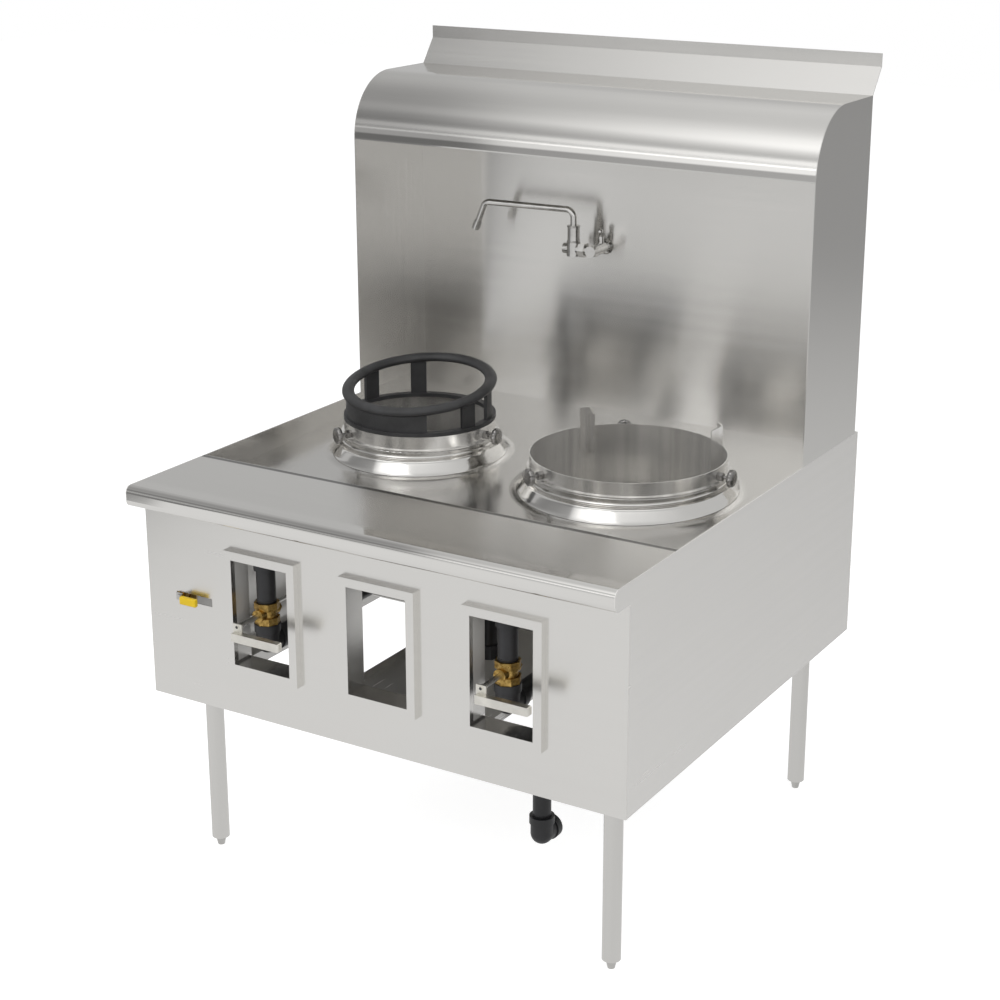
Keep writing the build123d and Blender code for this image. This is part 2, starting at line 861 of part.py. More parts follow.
line_y = depth(manifold_y)
manifold_ways = (valve_left_x, valve_right_x)
with BuildPart() as manifold:
    with BuildSketch(Plane.YZ.offset(manifold_left)):
        with Locations((line_y, manifold_level)):
            Circle(pipe_radius)
    extrude(amount=manifold_right - manifold_left)
    for way_x in manifold_ways:
        with BuildSketch(Plane.XY.offset(manifold_level - boss_depth)):
            with Locations((way_x, line_y)):
                Circle(boss_radius)
        extrude(amount=boss_depth)
    with BuildSketch(Plane.XZ.offset(-line_y)):
        with Locations((supply_x, manifold_level)):
            Circle(boss_radius)
    extrude(amount=-boss_depth)
    for hanger_x in hanger_places:
        with BuildSketch(Plane.XZ.offset(-depth(sheet))):
            with Locations((hanger_x, manifold_level)):
                Rectangle(hanger_width, hanger_height)
        extrude(amount=-(manifold_y - sheet))
    with BuildSketch(Plane.YZ.offset(manifold_left)):
        with Locations((line_y, manifold_level)):
            Circle(pipe_radius - pipe_wall)
    extrude(amount=manifold_right - manifold_left, mode=Mode.SUBTRACT)
    for way_x in manifold_ways:
        with BuildSketch(Plane.XY.offset(manifold_level - boss_depth)):
            with Locations((way_x, line_y)):
                Circle(pipe_radius + pipe_fit)
        extrude(amount=thread_depth, mode=Mode.SUBTRACT)
        with BuildSketch(Plane.XY.offset(manifold_level - boss_depth)):
            with Locations((way_x, line_y)):
                Circle(boss_bore)
        extrude(amount=boss_depth, mode=Mode.SUBTRACT)
    with BuildSketch(Plane.XZ.offset(-(line_y + boss_depth))):
        with Locations((supply_x, manifold_level)):
            Circle(pipe_radius + pipe_fit)
    extrude(amount=thread_depth, mode=Mode.SUBTRACT)
save(manifold, "manifold")

with BuildPart() as manifold_caps:
    for cap_x, outward in ((manifold_left, -1), (manifold_right, 1)):
        with BuildSketch(Plane.YZ.offset(cap_x)):
            with Locations((line_y, manifold_level)):
                RegularPolygon(fitting_radius, 8)
        extrude(amount=outward * manifold_cap)
save(manifold_caps, "manifold_caps")

valve_top = base_z + valve_z + valve_body_height / 2
valve_bottom = base_z + valve_z - valve_body_height / 2
feed_level = base_z + feed_z
for side, valve_x in (("left", valve_left_x), ("right", valve_right_x)):
    riser_high = manifold_level - boss_depth + thread_depth
    riser_pipe = pipe((valve_x, line_y, riser_high), (valve_x, line_y, valve_top - thread_depth))
    save(riser_pipe, f"riser_pipe_{side}")

    # Plug valve: an upright body, a plug barrel along Y, a rear cap and a spigot below.
    with BuildPart() as valve_body:
        with BuildSketch(Plane.XY.offset(valve_bottom)):
            with Locations((valve_x, line_y)):
                Circle(valve_body_radius)
        extrude(amount=valve_body_height)
        for hex_z in (valve_bottom, valve_top - valve_hex_height):
            with BuildSketch(Plane.XY.offset(hex_z)):
                with Locations((valve_x, line_y)):
                    RegularPolygon(valve_hex_radius, 8, major_radius=False)
            extrude(amount=valve_hex_height)
        with BuildSketch(Plane.XZ.offset(-(line_y - valve_plug_front))):
            with Locations((valve_x, base_z + valve_z)):
                Circle(valve_plug_radius)
        extrude(amount=-(valve_plug_front + valve_plug_rear))
        with BuildSketch(Plane.XZ.offset(-(line_y + valve_plug_rear))):
            with Locations((valve_x, base_z + valve_z)):
                RegularPolygon(valve_cap_radius, 6)
        extrude(amount=-valve_cap_length)
        with BuildSketch(Plane.XY.offset(valve_bottom)):
            with Locations((valve_x, line_y)):
                Circle(pipe_radius)
        extrude(amount=-thread_depth)
        with BuildSketch(Plane.XY.offset(valve_top)):
            with Locations((valve_x, line_y)):
                Circle(pipe_radius + pipe_fit)
        extrude(amount=-thread_depth, mode=Mode.SUBTRACT)
        with BuildSketch(Plane.XZ.offset(-(line_y - valve_plug_front))):
            with Locations((valve_x, base_z + valve_z)):
                Circle(stem_radius + stem_fit)
        extrude(amount=-stem_socket, mode=Mode.SUBTRACT)
    save(valve_body, f"valve_body_{side}")

    plate_y = depth(-stem_end)
    stem_root = line_y - valve_plug_front + stem_socket
    with BuildPart() as valve_stem:
        with BuildSketch(Plane.XZ.offset(-plate_y)):
            with Locations((valve_x, base_z + valve_z)):
                Circle(stem_radius)
        extrude(amount=-(stem_root - plate_y))
    save(valve_stem, f"valve_stem_{side}")

    # L-handle: an upright hub plate on the stem's end and a bar along +X below the axis.
    with BuildPart() as valve_handle:
        with BuildSketch(Plane.XZ.offset(-plate_y)):
            with Locations((valve_x, base_z + valve_z - hub_drop)):
                Rectangle(hub_width, hub_height)
        extrude(amount=hub_plate)
        with BuildSketch(Plane.XZ.offset(-plate_y)):
            with Locations((valve_x - bar_start, base_z + valve_z - bar_drop)):
                Rectangle(bar_length, bar_height, align=(Align.MIN, Align.MAX))
        extrude(amount=bar_thickness)
        fillet(
            valve_handle.edges().filter_by(Axis.Y).sort_by(Axis.X)[-2:]
            + valve_handle.edges().filter_by(Axis.Z).sort_by(Axis.X)[-2:],
            radius=bar_end_round,
        )
        with BuildSketch(Plane.XZ.offset(-(plate_y - hub_plate))):
            with Locations((valve_x, base_z + valve_z)):
                Circle(hub_screw_radius)
        extrude(amount=hub_screw_head)
    save(valve_handle, f"valve_handle_{side}")

    elbow_corner = (valve_x, line_y, feed_level)
    save(elbow(elbow_corner, (0, 0, 1), (0, 1, 0)), f"valve_elbow_{side}")
    feed_start = line_y + fitting_leg - thread_depth
    feed_end = depth(chamber_y) - burner_boss_reach + thread_depth
    feed_pipe = pipe((valve_x, feed_start, feed_level), (valve_x, feed_end, feed_level))
    save(feed_pipe, f"feed_pipe_{side}")

supply_y = depth(supply_run)
supply_pipe = pipe(
    (supply_x, line_y + boss_depth - thread_depth, manifold_level),
    (supply_x, supply_y - fitting_leg + thread_depth, manifold_level),
)
save(supply_pipe, "supply_pipe")
save(elbow((supply_x, supply_y, manifold_level), (0, -1, 0), (0, 0, -1)), "supply_elbow")
inlet_level = base_z + inlet_z
drop_pipe = pipe(
    (supply_x, supply_y, manifold_level - fitting_leg + thread_depth),
    (supply_x, supply_y, inlet_level + fitting_leg - thread_depth),
)
save(drop_pipe, "drop_pipe")
save(elbow((supply_x, supply_y, inlet_level), (0, 0, 1), (0, 1, 0)), "inlet_elbow")

# Sediment trap: a saddle on the supply pipe with a capped stub hanging from it.
with BuildPart() as sediment_trap:
    with BuildSketch(Plane.XY.offset(manifold_level - trap_drop)):
        with Locations((supply_x, depth(trap_y))):
            Circle(pipe_radius)
    extrude(amount=trap_drop)
    with BuildSketch(Plane.XZ.offset(-depth(trap_y - pipe_radius))):
        with Locations((supply_x, manifold_level)):
            Circle(pipe_radius + curved_gap)
    extrude(amount=-2 * pipe_radius, mode=Mode.SUBTRACT)
    with BuildSketch(Plane.XY.offset(manifold_level - trap_drop)):
        with Locations((supply_x, depth(trap_y))):
            RegularPolygon(fitting_radius, 8)
    extrude(amount=trap_cap)
save(sediment_trap, "sediment_trap")

# ---------------------------------------------------------------- shut-off valve
stem_z = base_z + shutoff_z
with BuildPart() as shutoff_valve:
    with BuildSketch(Plane.XZ.offset(-depth(sheet))):
        with Locations((shutoff_x, stem_z)):
            Rectangle(shutoff_plate_width, shutoff_plate_height)
    extrude(amount=-shutoff_plate_sheet)
    with BuildSketch(Plane.XY.offset(stem_z - shutoff_body_half)):
        with Locations((shutoff_x, line_y)):
            RegularPolygon(shutoff_body_radius, 8)
    extrude(amount=2 * shutoff_body_half)
    with BuildSketch(Plane.XZ.offset(-depth(0))):
        with Locations((shutoff_x, stem_z)):
            Circle(shutoff_neck_radius)
    extrude(amount=-manifold_y)
    with BuildSketch(Plane.XZ.offset(-depth(0))):
        with Locations((shutoff_x, stem_z)):
            Circle(stem_radius + stem_fit)
    extrude(amount=-stem_socket, mode=Mode.SUBTRACT)
    with BuildSketch(Plane.XY.offset(stem_z + shutoff_body_half)):
        with Locations((shutoff_x, line_y)):
            Circle(tube_radius + pipe_fit)
    extrude(amount=-thread_depth, mode=Mode.SUBTRACT)
    with BuildSketch(Plane.XY.offset(stem_z - shutoff_body_half)):
        with Locations((shutoff_x, line_y)):
            Circle(tube_radius + pipe_fit)
    extrude(amount=thread_depth, mode=Mode.SUBTRACT)
save(shutoff_valve, "shutoff_valve")

# Lever: a hub strip close to the panel, an outward step, and a dipped grip.
lever_y = depth(-lever_gap)
grip_y = lever_y - lever_offset
hub_left = shutoff_x - lever_width / 2
hub_right = hub_left + lever_hub_length
with BuildPart() as shutoff_lever:
    with BuildSketch(Plane.XY.offset(stem_z - lever_width / 2)):
        with BuildLine():
            Polyline(
                (hub_left, lever_y),
                (hub_right, lever_y),
                (hub_right + lever_offset / 2, grip_y),
                (hub_right + lever_offset, grip_y),
                (hub_right + lever_offset, grip_y - lever_plate),
                (hub_right + lever_offset / 2 - lever_plate / 2, grip_y - lever_plate),
                (hub_right - lever_plate / 2, lever_y - lever_plate),
                (hub_left, lever_y - lever_plate),
                close=True,
            )
        make_face()
    extrude(amount=lever_width)
    grip_middle = grip_y - lever_plate / 2
    with BuildSketch(Plane.XY.offset(stem_z - lever_width / 2)):
        with Locations((hub_right + lever_offset / 2, grip_middle)):
            Rectangle(grip_length, grip_thickness, align=(Align.MIN, Align.CENTER))
    extrude(amount=lever_width)
    fillet(
        shutoff_lever.edges().filter_by(Axis.Z).sort_by(Axis.X)[-2:],
        radius=grip_thickness / 3,
    )
    with BuildSketch(Plane.XZ.offset(-(lever_y - lever_plate))):
        with Locations((shutoff_x, stem_z)):
            RegularPolygon(lever_nut_radius, 6)
    extrude(amount=lever_plate)
    with BuildSketch(Plane.XZ.offset(-lever_y)):
        with Locations((shutoff_x, stem_z)):
            Circle(stem_radius)
    extrude(amount=-(lever_gap + stem_socket))
save(shutoff_lever, "shutoff_lever")


# ---------------------------------------------------------------- pilot tubing
def tube(points):
    """A bent tube through the given corners."""
    with BuildPart() as piece:
        with BuildLine() as route:
            FilletPolyline(*points, radius=pilot_bend)
        with BuildSketch(Plane(origin=route.line @ 0, z_dir=route.line % 0)):
            Circle(tube_radius)
        sweep(path=route.line)
    return piece


cap_end = manifold_left - manifold_cap
pilot_z = base_z + pilot_run_z
pilot_left_x = pilot_x(chamber_left_x)
pilot_right_x = pilot_x(chamber_right_x)
inlet_route = (
    (cap_end, line_y, manifold_level),
    (shutoff_x, line_y, manifold_level),
    (shutoff_x, line_y, stem_z + shutoff_body_half - thread_depth),
)
outlet_route = (
    (shutoff_x, line_y, stem_z - shutoff_body_half + thread_depth),
    (shutoff_x, line_y, pilot_z),
    (shutoff_x, pilot_y, pilot_z),
    (pilot_right_x, pilot_y, pilot_z),
    (pilot_right_x, pilot_y, base_z + pilot_tip_z),
)
with BuildPart() as pilot_tubing:
    add(tube(inlet_route).part)
    add(tube(outlet_route).part)
    with BuildSketch(Plane.XY.offset(pilot_z)):
        with Locations((pilot_left_x, pilot_y)):
            RegularPolygon(tee_radius, 6)
    extrude(amount=tee_radius, both=True)
    with BuildSketch(Plane.XY.offset(pilot_z + tee_radius)):
        with Locations((pilot_left_x, pilot_y)):
            Circle(tube_radius)
    extrude(amount=pilot_tip_z - pilot_run_z - tee_radius)
save(pilot_tubing, "pilot_tubing")

# ---------------------------------------------------------------- faucet
swivel_x = faucet_swivel_x
block_top = tap_z + faucet_block_height / 2
wall_y = depth(splash_front)
nut_y = back_y + sheet
shank_y = tap_y + faucet_valve_length
bonnet_y = tap_y + faucet_bonnet_back
with BuildPart() as faucet_shank:
    with BuildSketch(Plane.XZ.offset(-shank_y)):
        with Locations((tap_x, tap_z)):
            Circle(faucet_shank_radius)
    extrude(amount=-(nut_y - shank_y))
    with BuildSketch(Plane.XZ.offset(-nut_y)):
        with Locations((tap_x, tap_z)):
            RegularPolygon(faucet_lock_nut_radius, 6)
    extrude(amount=-faucet_lock_nut)
    with BuildSketch(Plane.XZ.offset(-(nut_y + faucet_lock_nut))):
        with Locations((tap_x, tap_z)):
            Circle(faucet_tail_radius)
    extrude(amount=-faucet_tail_length)
    with BuildSketch(Plane.XZ.offset(-wall_y)):
        with Locations((tap_x, tap_z)):
            Circle(faucet_flange_radius)
    extrude(amount=faucet_flange, taper=faucet_flange_taper)
save(faucet_shank, "faucet_shank")

# Body: an arm along X with a hexagonal nut, an upright block that holds the spout, and
# a valve barrel back to the shank with the lever's bonnet on top.
with BuildPart() as faucet_body:
    arm_start = tap_x + faucet_end_overhang
    with BuildSketch(Plane.YZ.offset(arm_start)):
        with Locations((tap_y, tap_z)):
            Circle(faucet_arm_radius)
    extrude(amount=swivel_x - faucet_arm_overhang - arm_start)
    with BuildSketch(Plane.YZ.offset(faucet_nut_x)):
        with Locations((tap_y, tap_z)):
            RegularPolygon(faucet_nut_radius, 6)
    extrude(amount=faucet_nut_width)
    with BuildSketch(Plane.XZ.offset(-(tap_y - faucet_valve_front))):
        with Locations((tap_x, tap_z)):
            Circle(faucet_valve_radius)
    extrude(amount=-(faucet_valve_front + faucet_valve_length))
    with BuildSketch(Plane.XY.offset(block_top - faucet_block_height)):
        with Locations((swivel_x, tap_y)):
            Circle(faucet_block_radius)
    extrude(amount=faucet_block_height)
    with BuildSketch(Plane.XY.offset(tap_z)):
        with Locations((tap_x, bonnet_y)):
            Circle(faucet_bonnet_radius)
    extrude(amount=faucet_bonnet_height)
    with BuildSketch(Plane.XY.offset(block_top)):
        with Locations((swivel_x, tap_y)):
            Circle(spout_root_radius + swivel_fit)
    extrude(amount=-spout_root_depth, mode=Mode.SUBTRACT)
    with BuildSketch(Plane.XY.offset(tap_z + faucet_bonnet_height)):
        with Locations((tap_x, bonnet_y)):
            Circle(tap_stem_radius + tap_stem_fit)
    extrude(amount=-tap_stem_depth, mode=Mode.SUBTRACT)
save(faucet_body, "faucet_body")

# Lever: a round stem in the bonnet, a hub, and a short arm that leans out to a ball.
with BuildPart() as faucet_lever:
    bonnet_top = tap_z + faucet_bonnet_height
    with BuildSketch(Plane.XY.offset(bonnet_top - tap_stem_depth)):
        with Locations((tap_x, bonnet_y)):
            Circle(tap_stem_radius)
    extrude(amount=tap_stem_depth)
    with BuildSketch(Plane.XY.offset(bonnet_top)):
        with Locations((tap_x, bonnet_y)):
            Circle(faucet_bonnet_radius)
    extrude(amount=tap_hub_height)
    hub_centre = Vector(tap_x, bonnet_y, bonnet_top + tap_hub_height / 2)
    arm_way = Vector(0, -cos(radians(tap_arm_lean)), sin(radians(tap_arm_lean)))
    with BuildSketch(Plane(hub_centre, z_dir=arm_way)):
        Circle(tap_arm_radius)
    extrude(amount=tap_arm)
    with Locations(hub_centre + arm_way * tap_arm):
        Sphere(tap_ball_radius)
save(faucet_lever, "faucet_lever")

# Spout: a swivel root, a sleeve on the block, and a tube that rises, runs out and dips
# on a slant.
with BuildPart() as faucet_spout:
    with BuildSketch(Plane.XY.offset(block_top - spout_root_depth)):
        with Locations((swivel_x, tap_y)):
            Circle(spout_root_radius)
    extrude(amount=spout_root_depth)
    with BuildSketch(Plane.XY.offset(block_top)):
        with Locations((swivel_x, tap_y)):
            Circle(sleeve_radius)
    extrude(amount=sleeve_height)
    outward = Vector(-cos(radians(spout_swing)), -sin(radians(spout_swing)))
    out_x, out_y, _ = Vector(swivel_x, tap_y) + outward * spout_reach
    tip_x, tip_y, _ = Vector(swivel_x, tap_y) + outward * (spout_reach + spout_slant)
    crown_z = block_top + spout_rise
    with BuildLine() as spout_path:
        FilletPolyline(
            (swivel_x, tap_y, block_top + sleeve_height),
            (swivel_x, tap_y, crown_z),
            (out_x, out_y, crown_z),
            (tip_x, tip_y, crown_z - spout_drop),
            radius=spout_bend,
        )
    with BuildSketch(Plane(spout_path.line @ 0, z_dir=spout_path.line % 0)):
        Circle(spout_radius)
    sweep(path=spout_path.line)
    with BuildSketch(Plane(spout_path.line @ 1, z_dir=spout_path.line % 1)):
        Circle(spout_tip_radius)
    extrude(amount=spout_tip_length)
save(faucet_spout, "faucet_spout")

# ---------------------------------------------------------------- wok ring
# A foot on the chamber's rim, a wall left as posts between its windows, and a round
# top bead that leans up towards the splash.
ring_y = depth(chamber_y)
foot_z = rim_z + ring_seat
bead_centre = (chamber_left_x, ring_y)
bead_plane = Plane((*bead_centre, rim_z + ring_centre_rise)).rotated((ring_tilt, 0, 0))
with BuildPart() as wok_ring:
    for start, end in ring_wall_spans:
        with BuildSketch(Plane.XY.offset(foot_z)):
            with BuildLine():
                outer = CenterArc(bead_centre, ring_wall_outer, start, end - start)
                inner = CenterArc(bead_centre, ring_wall_inner, start, end - start)
                Line(outer @ 0, inner @ 0)
                Line(outer @ 1, inner @ 1)
            make_face()
        extrude(amount=2 * ring_centre_rise)
    split(bisect_by=bead_plane, keep=Keep.BOTTOM)
    with BuildSketch(Plane.XY.offset(foot_z)):
        with Locations(bead_centre):
            Circle(ring_foot_outer)
            Circle(ring_foot_inner, mode=Mode.SUBTRACT)
    extrude(amount=ring_foot)
    with BuildSketch(Plane(bead_plane.origin, x_dir=(1, 0, 0), z_dir=-bead_plane.y_dir)):
        with Locations((ring_bead_radius, 0)):
            Ellipse(ring_bead_half_width, ring_bead_half_height)
    revolve(axis=Axis(bead_plane.origin, bead_plane.z_dir))
save(wok_ring, "wok_ring")
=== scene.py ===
"""Two-chamber wok range: finishes, small details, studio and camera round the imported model.

Metres, +Z up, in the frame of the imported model: x = 0 is the middle of the range, the
front panel faces -Y and the floor is z = 0.
"""
import json
import math

import bmesh
import bpy
from mathutils import Matrix, Vector


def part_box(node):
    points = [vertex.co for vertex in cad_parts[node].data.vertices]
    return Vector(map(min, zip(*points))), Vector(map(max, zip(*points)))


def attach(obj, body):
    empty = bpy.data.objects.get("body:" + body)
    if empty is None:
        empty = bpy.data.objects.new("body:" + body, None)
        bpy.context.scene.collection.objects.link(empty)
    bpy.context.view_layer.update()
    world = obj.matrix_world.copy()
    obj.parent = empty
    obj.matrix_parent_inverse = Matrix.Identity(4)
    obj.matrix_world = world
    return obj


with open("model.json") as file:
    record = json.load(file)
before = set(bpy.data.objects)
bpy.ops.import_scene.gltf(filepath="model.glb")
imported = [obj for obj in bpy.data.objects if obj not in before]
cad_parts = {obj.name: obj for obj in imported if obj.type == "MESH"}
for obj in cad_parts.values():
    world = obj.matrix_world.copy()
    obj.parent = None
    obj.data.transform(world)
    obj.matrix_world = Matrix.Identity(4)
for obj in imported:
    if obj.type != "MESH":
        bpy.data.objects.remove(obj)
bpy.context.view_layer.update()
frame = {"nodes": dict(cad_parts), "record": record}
nodes = frame["nodes"]
scene = bpy.context.scene

MM = 0.001
ALONG_X, ALONG_Y, ALONG_Z = (1, 0, 0), (0, 1, 0), (0, 0, 1)


# ---------------------------------------------------------------- node helpers
MIX_FACTOR, MIX_A, MIX_B, MIX_RESULT = 0, 6, 7, 2  # sockets of a Mix node that blends colours
NOISE_LOW, NOISE_HIGH = 0.3, 0.7  # most values of a noise lie between these
EVEN = (1, 1, 1)  # a noise that isn't drawn out
ROUGH_DETAIL, FINE_DETAIL = 3.0, 4.0  # octaves of a noise


def grey(level):
    """A grey colour with full alpha."""
    return level, level, level, 1


def feed(tree, socket, value):
    """Links a socket where value is another socket, and else sets it to value."""
    if isinstance(value, bpy.types.NodeSocket):
        tree.links.new(value, socket)
    else:
        socket.default_value = value


def made(tree, kind, inputs=None, **settings):
    """A new shader node, with its settings and with {socket name or number: value or socket}."""
    node = tree.nodes.new("ShaderNode" + kind)
    for setting, value in settings.items():
        setattr(node, setting, value)
    for key, value in (inputs or {}).items():
        feed(tree, node.inputs[key], value)
    return node


def computed(tree, operation, *operands):
    """The result of a Math node over sockets or numbers."""
    return made(tree, "Math", dict(enumerate(operands)), operation=operation).outputs[0]


def along(tree, place, direction):
    """How far a place or direction lies along another direction."""
    product = made(tree, "VectorMath", {0: place, 1: direction}, operation="DOT_PRODUCT")
    return product.outputs["Value"]


def new_material(name):
    """An empty Principled material: returns (material, node tree, shader)."""
    material = bpy.data.materials.new(name)
    material.use_nodes = True
    tree = material.node_tree
    return material, tree, tree.nodes["Principled BSDF"]


def stretched_noise(tree, stretch, scale, detail=ROUGH_DETAIL):
    """Noise over object coordinates, drawn out along the axes where stretch is small."""
    place = made(tree, "TexCoord").outputs["Object"]
    mapping = made(tree, "Mapping", {"Vector": place, "Scale": stretch})
    noise = made(tree, "TexNoise", {
        "Vector": mapping.outputs["Vector"], "Scale": scale, "Detail": detail,
    })
    return noise.outputs["Fac"]


def ramp(tree, factor, low, high):
    """Maps the middle values of a noise onto the span low..high."""
    span = made(tree, "MapRange", {
        "Value": factor, "From Min": NOISE_LOW, "From Max": NOISE_HIGH, "To Min": low, "To Max": high,
    })
    return span.outputs["Result"]


def level_ramp(tree, value, levels):
    """A grey ramp over a value, given as (value, level) pairs in rising order."""
    low, high = levels[0][0], levels[-1][0]
    span = made(tree, "MapRange", {"Value": value, "From Min": low, "From Max": high})
    colours = made(tree, "ValToRGB", {"Fac": span.outputs["Result"]})
    stops = colours.color_ramp.elements
    for stop, (_, level) in zip(stops, (levels[0], levels[-1])):
        stop.color = grey(level)
    for place, level in levels[1:-1]:
        stops.new((place - low) / (high - low)).color = grey(level)
    return colours.outputs["Color"]


def step(places, before, after):
    """Levels that change once, between the second and the third of four places."""
    return tuple(zip(places, (before, before, after, after)))


def by_place(tree, axis, levels):
    """A grey level that follows one object coordinate, given as (metres, level) pairs."""
    place = made(tree, "TexCoord").outputs["Object"]
    split = made(tree, "SeparateXYZ", {"Vector": place})
    return level_ramp(tree, split.outputs[axis], levels)


# ---------------------------------------------------------------- changes to a shader
def shaded_by(tree, shader, factor, dark, light):
    """Colours the shader between two colours, by a factor."""
    mix = made(tree, "Mix", {MIX_FACTOR: factor, MIX_A: (*dark, 1), MIX_B: (*light, 1)}, data_type="RGBA")
    tree.links.new(mix.outputs[MIX_RESULT], shader.inputs["Base Color"])


def clouded(tree, shader, factor, colour, darker, lighter):
    """Colours the shader between a darker and a lighter shade of one colour."""
    dark = [part * darker for part in colour]
    light = [min(1, part * lighter) for part in colour]
    shaded_by(tree, shader, factor, dark, light)


def tinted_by(tree, shader, level):
    """Multiplies the shader's colour by a grey level."""
    socket = shader.inputs["Base Color"]
    mix = made(
        tree, "Mix", {MIX_FACTOR: 1.0, MIX_A: socket.links[0].from_socket, MIX_B: level},
        data_type="RGBA", blend_type="MULTIPLY",
    )
    tree.links.new(mix.outputs[MIX_RESULT], socket)


def roughened_by(tree, shader, level):
    """Multiplies the shader's roughness by a level."""
    socket = shader.inputs["Roughness"]
    tree.links.new(computed(tree, "MULTIPLY", socket.links[0].from_socket, level), socket)


def bump(tree, shader, height, strength, distance):
    """Adds a bump from a height factor to the shader."""
    node = made(tree, "Bump", {"Height": height, "Strength": strength, "Distance": distance})
    tree.links.new(node.outputs["Normal"], shader.inputs["Normal"])


# ---------------------------------------------------------------- finishes
DRAWN_OUT = 0.985  # how far the grain is drawn out along the brushing, where 1 is endless
GRAIN_SCALE, STREAK_SCALE, CLOUD_SCALE = 900.0, 60.0, 3.0
GRAIN_DEPTH = 0.2 * MM
STEEL_WARMTH = (1, 0.985, 0.955)
SHADE_DARKER, SHADE_LIGHTER = 0.98, 1.02
QUARTER_TURN = 0.25  # turns the long axis of the highlight across the grain
WHOLE_ROUGH = (0.9, 1.1)  # round 1, for finishes whose roughness follows the place
MARGIN = 100 * MM  # how far a level by place runs on past the piece
PAST_SIDES = 700 * MM  # a little more than half the range's width
OUTER_SKIN, INNER_SKIN = 0.8 * MM, 1.6 * MM  # depths in a side sheet between its two finishes
BRIGHT_ROUGH, LEDGE_ROUGH, CANOPY_ROUGH = 0.055, 0.2, 0.14
NOSE_BLEND = 20 * MM  # from the bright nose to the satin top
PAINTED_SHADE_START, PAINTED_SHADE_END = 14 * MM, 11 * MM  # painted shade: a dark line just before the ledge's rear edge, between these depths
# how dark the painted shade line before the ledge's rear edge is
PAINTED_SHADE_TONE = 0.25
HEM_TOP, ROLL_FOOT = 26 * MM, 34 * MM  # over the canopy's lower edge
CHAMBER_STRETCH, CHAMBER_SCALE = (1, 1, 0.03), 26.0
CHAMBER_STREAKS = (0.68, 1.0)
CHAMBER_METAL, MILL_METAL, SIDE_INNER_METAL = 0.82, 0.5, 0.35
RISER_INNER_TONE = 0.88
SLEEVE_SILL = 24 * MM  # height of a window frame's lower part, which stays dark
SLEEVE_BLEND = 2 * MM
BROWN, AMBER = (0.26, 0.15, 0.035), (0.66, 0.45, 0.15)
BRASS_ROUGH = (0.42, 0.24)
BRASS_PATCH_SCALE, BRASS_GRAIN_SCALE = 130.0, 420.0
BRASS_RELIEF, BRASS_DEPTH = 0.3, 0.6 * MM
METAL_GRAIN_SCALE, METAL_CLOUD_SCALE = 400.0, 25.0
METAL_DARKER, METAL_LIGHTER = 0.86, 1.1
METAL_SMOOTHER, METAL_ROUGHER = 0.8, 1.25
METAL_DEPTH = 0.5 * MM
COAT_CLOUD_SCALE = 18.0
COAT_SMOOTHER, COAT_ROUGHER = 0.85, 1.15
COAT_DEPTH = 0.6 * MM


def brushed_steel(name, grain, tone=0.82, rough=(0.20, 0.28), anisotropy=0.5, relief=0.02):
    """Satin stainless sheet.  grain is the unit direction of the brushing."""
    material, tree, shader = new_material(name)
    across = [1.0 - DRAWN_OUT * abs(part) for part in grain]
    fine = stretched_noise(tree, across, GRAIN_SCALE)
    streak = stretched_noise(tree, across, STREAK_SCALE, detail=FINE_DETAIL)
    cloud = stretched_noise(tree, EVEN, CLOUD_SCALE)
    mixed = computed(tree, "MULTIPLY_ADD", streak, 0.5, computed(tree, "MULTIPLY", cloud, 0.5))
    colour = [tone * part for part in STEEL_WARMTH]
    clouded(tree, shader, ramp(tree, mixed, 0, 1), colour, SHADE_DARKER, SHADE_LIGHTER)
    tree.links.new(ramp(tree, mixed, *rough), shader.inputs["Roughness"])
    shader.inputs["Metallic"].default_value = 1.0
    shader.inputs["Anisotropic"].default_value = anisotropy
    shader.inputs["Anisotropic Rotation"].default_value = QUARTER_TURN
    tangent = made(tree, "CombineXYZ", dict(enumerate(grain)))
    tree.links.new(tangent.outputs["Vector"], shader.inputs["Tangent"])
    bump(tree, shader, fine, relief, GRAIN_DEPTH)
    return material


def parts_of(material):
    """A material's node tree and its shader."""
    tree = material.node_tree
    return tree, tree.nodes["Principled BSDF"]


def inner_faces(node, level):
    """Levels along X for a pair of side sheets: 1 on the outer faces, level on the inner ones."""
    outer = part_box(node)[1][0]
    edge, inner = outer - OUTER_SKIN, outer - INNER_SKIN
    return ((-PAST_SIDES, 1), (-edge, 1), (-inner, level), (inner, level), (edge, 1), (PAST_SIDES, 1))


def ledge_finish_and_painted_shade():
    """The front ledge: bright on the rolled nose, satin on the flat top, with a painted shade line just
    before its rear edge.
    """
    material = brushed_steel("steel_ledge", ALONG_X, rough=WHOLE_ROUGH, anisotropy=0.3)
    tree, shader = parts_of(material)
    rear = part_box("front_ledge")[1][1]
    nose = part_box("front_panel")[0][1]
    roughened_by(tree, shader, by_place(tree, "Y", step(
        (nose - MARGIN, nose - NOSE_BLEND, nose, rear), BRIGHT_ROUGH, LEDGE_ROUGH)))
    # painted shade: darkens the colour in a thin line before the rear edge, standing in for the shade behind
    # the ledge
    tinted_by(tree, shader, by_place(tree, "Y", step(
        (nose - MARGIN, rear - PAINTED_SHADE_START, rear - PAINTED_SHADE_END, rear + MARGIN), 1, PAINTED_SHADE_TONE)))
    return material


def canopy_finish():
    """The rolled canopy: satin on the roll, bright on the folded hem below it."""
    material = brushed_steel("steel_canopy", ALONG_X, rough=WHOLE_ROUGH, anisotropy=0.2)
    tree, shader = parts_of(material)
    low, high = (corner[2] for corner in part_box("canopy"))
    roughened_by(tree, shader, by_place(tree, "Z", step(
        (low - MARGIN, low + HEM_TOP, low + ROLL_FOOT, high + MARGIN), BRIGHT_ROUGH, CANOPY_ROUGH)))
    return material


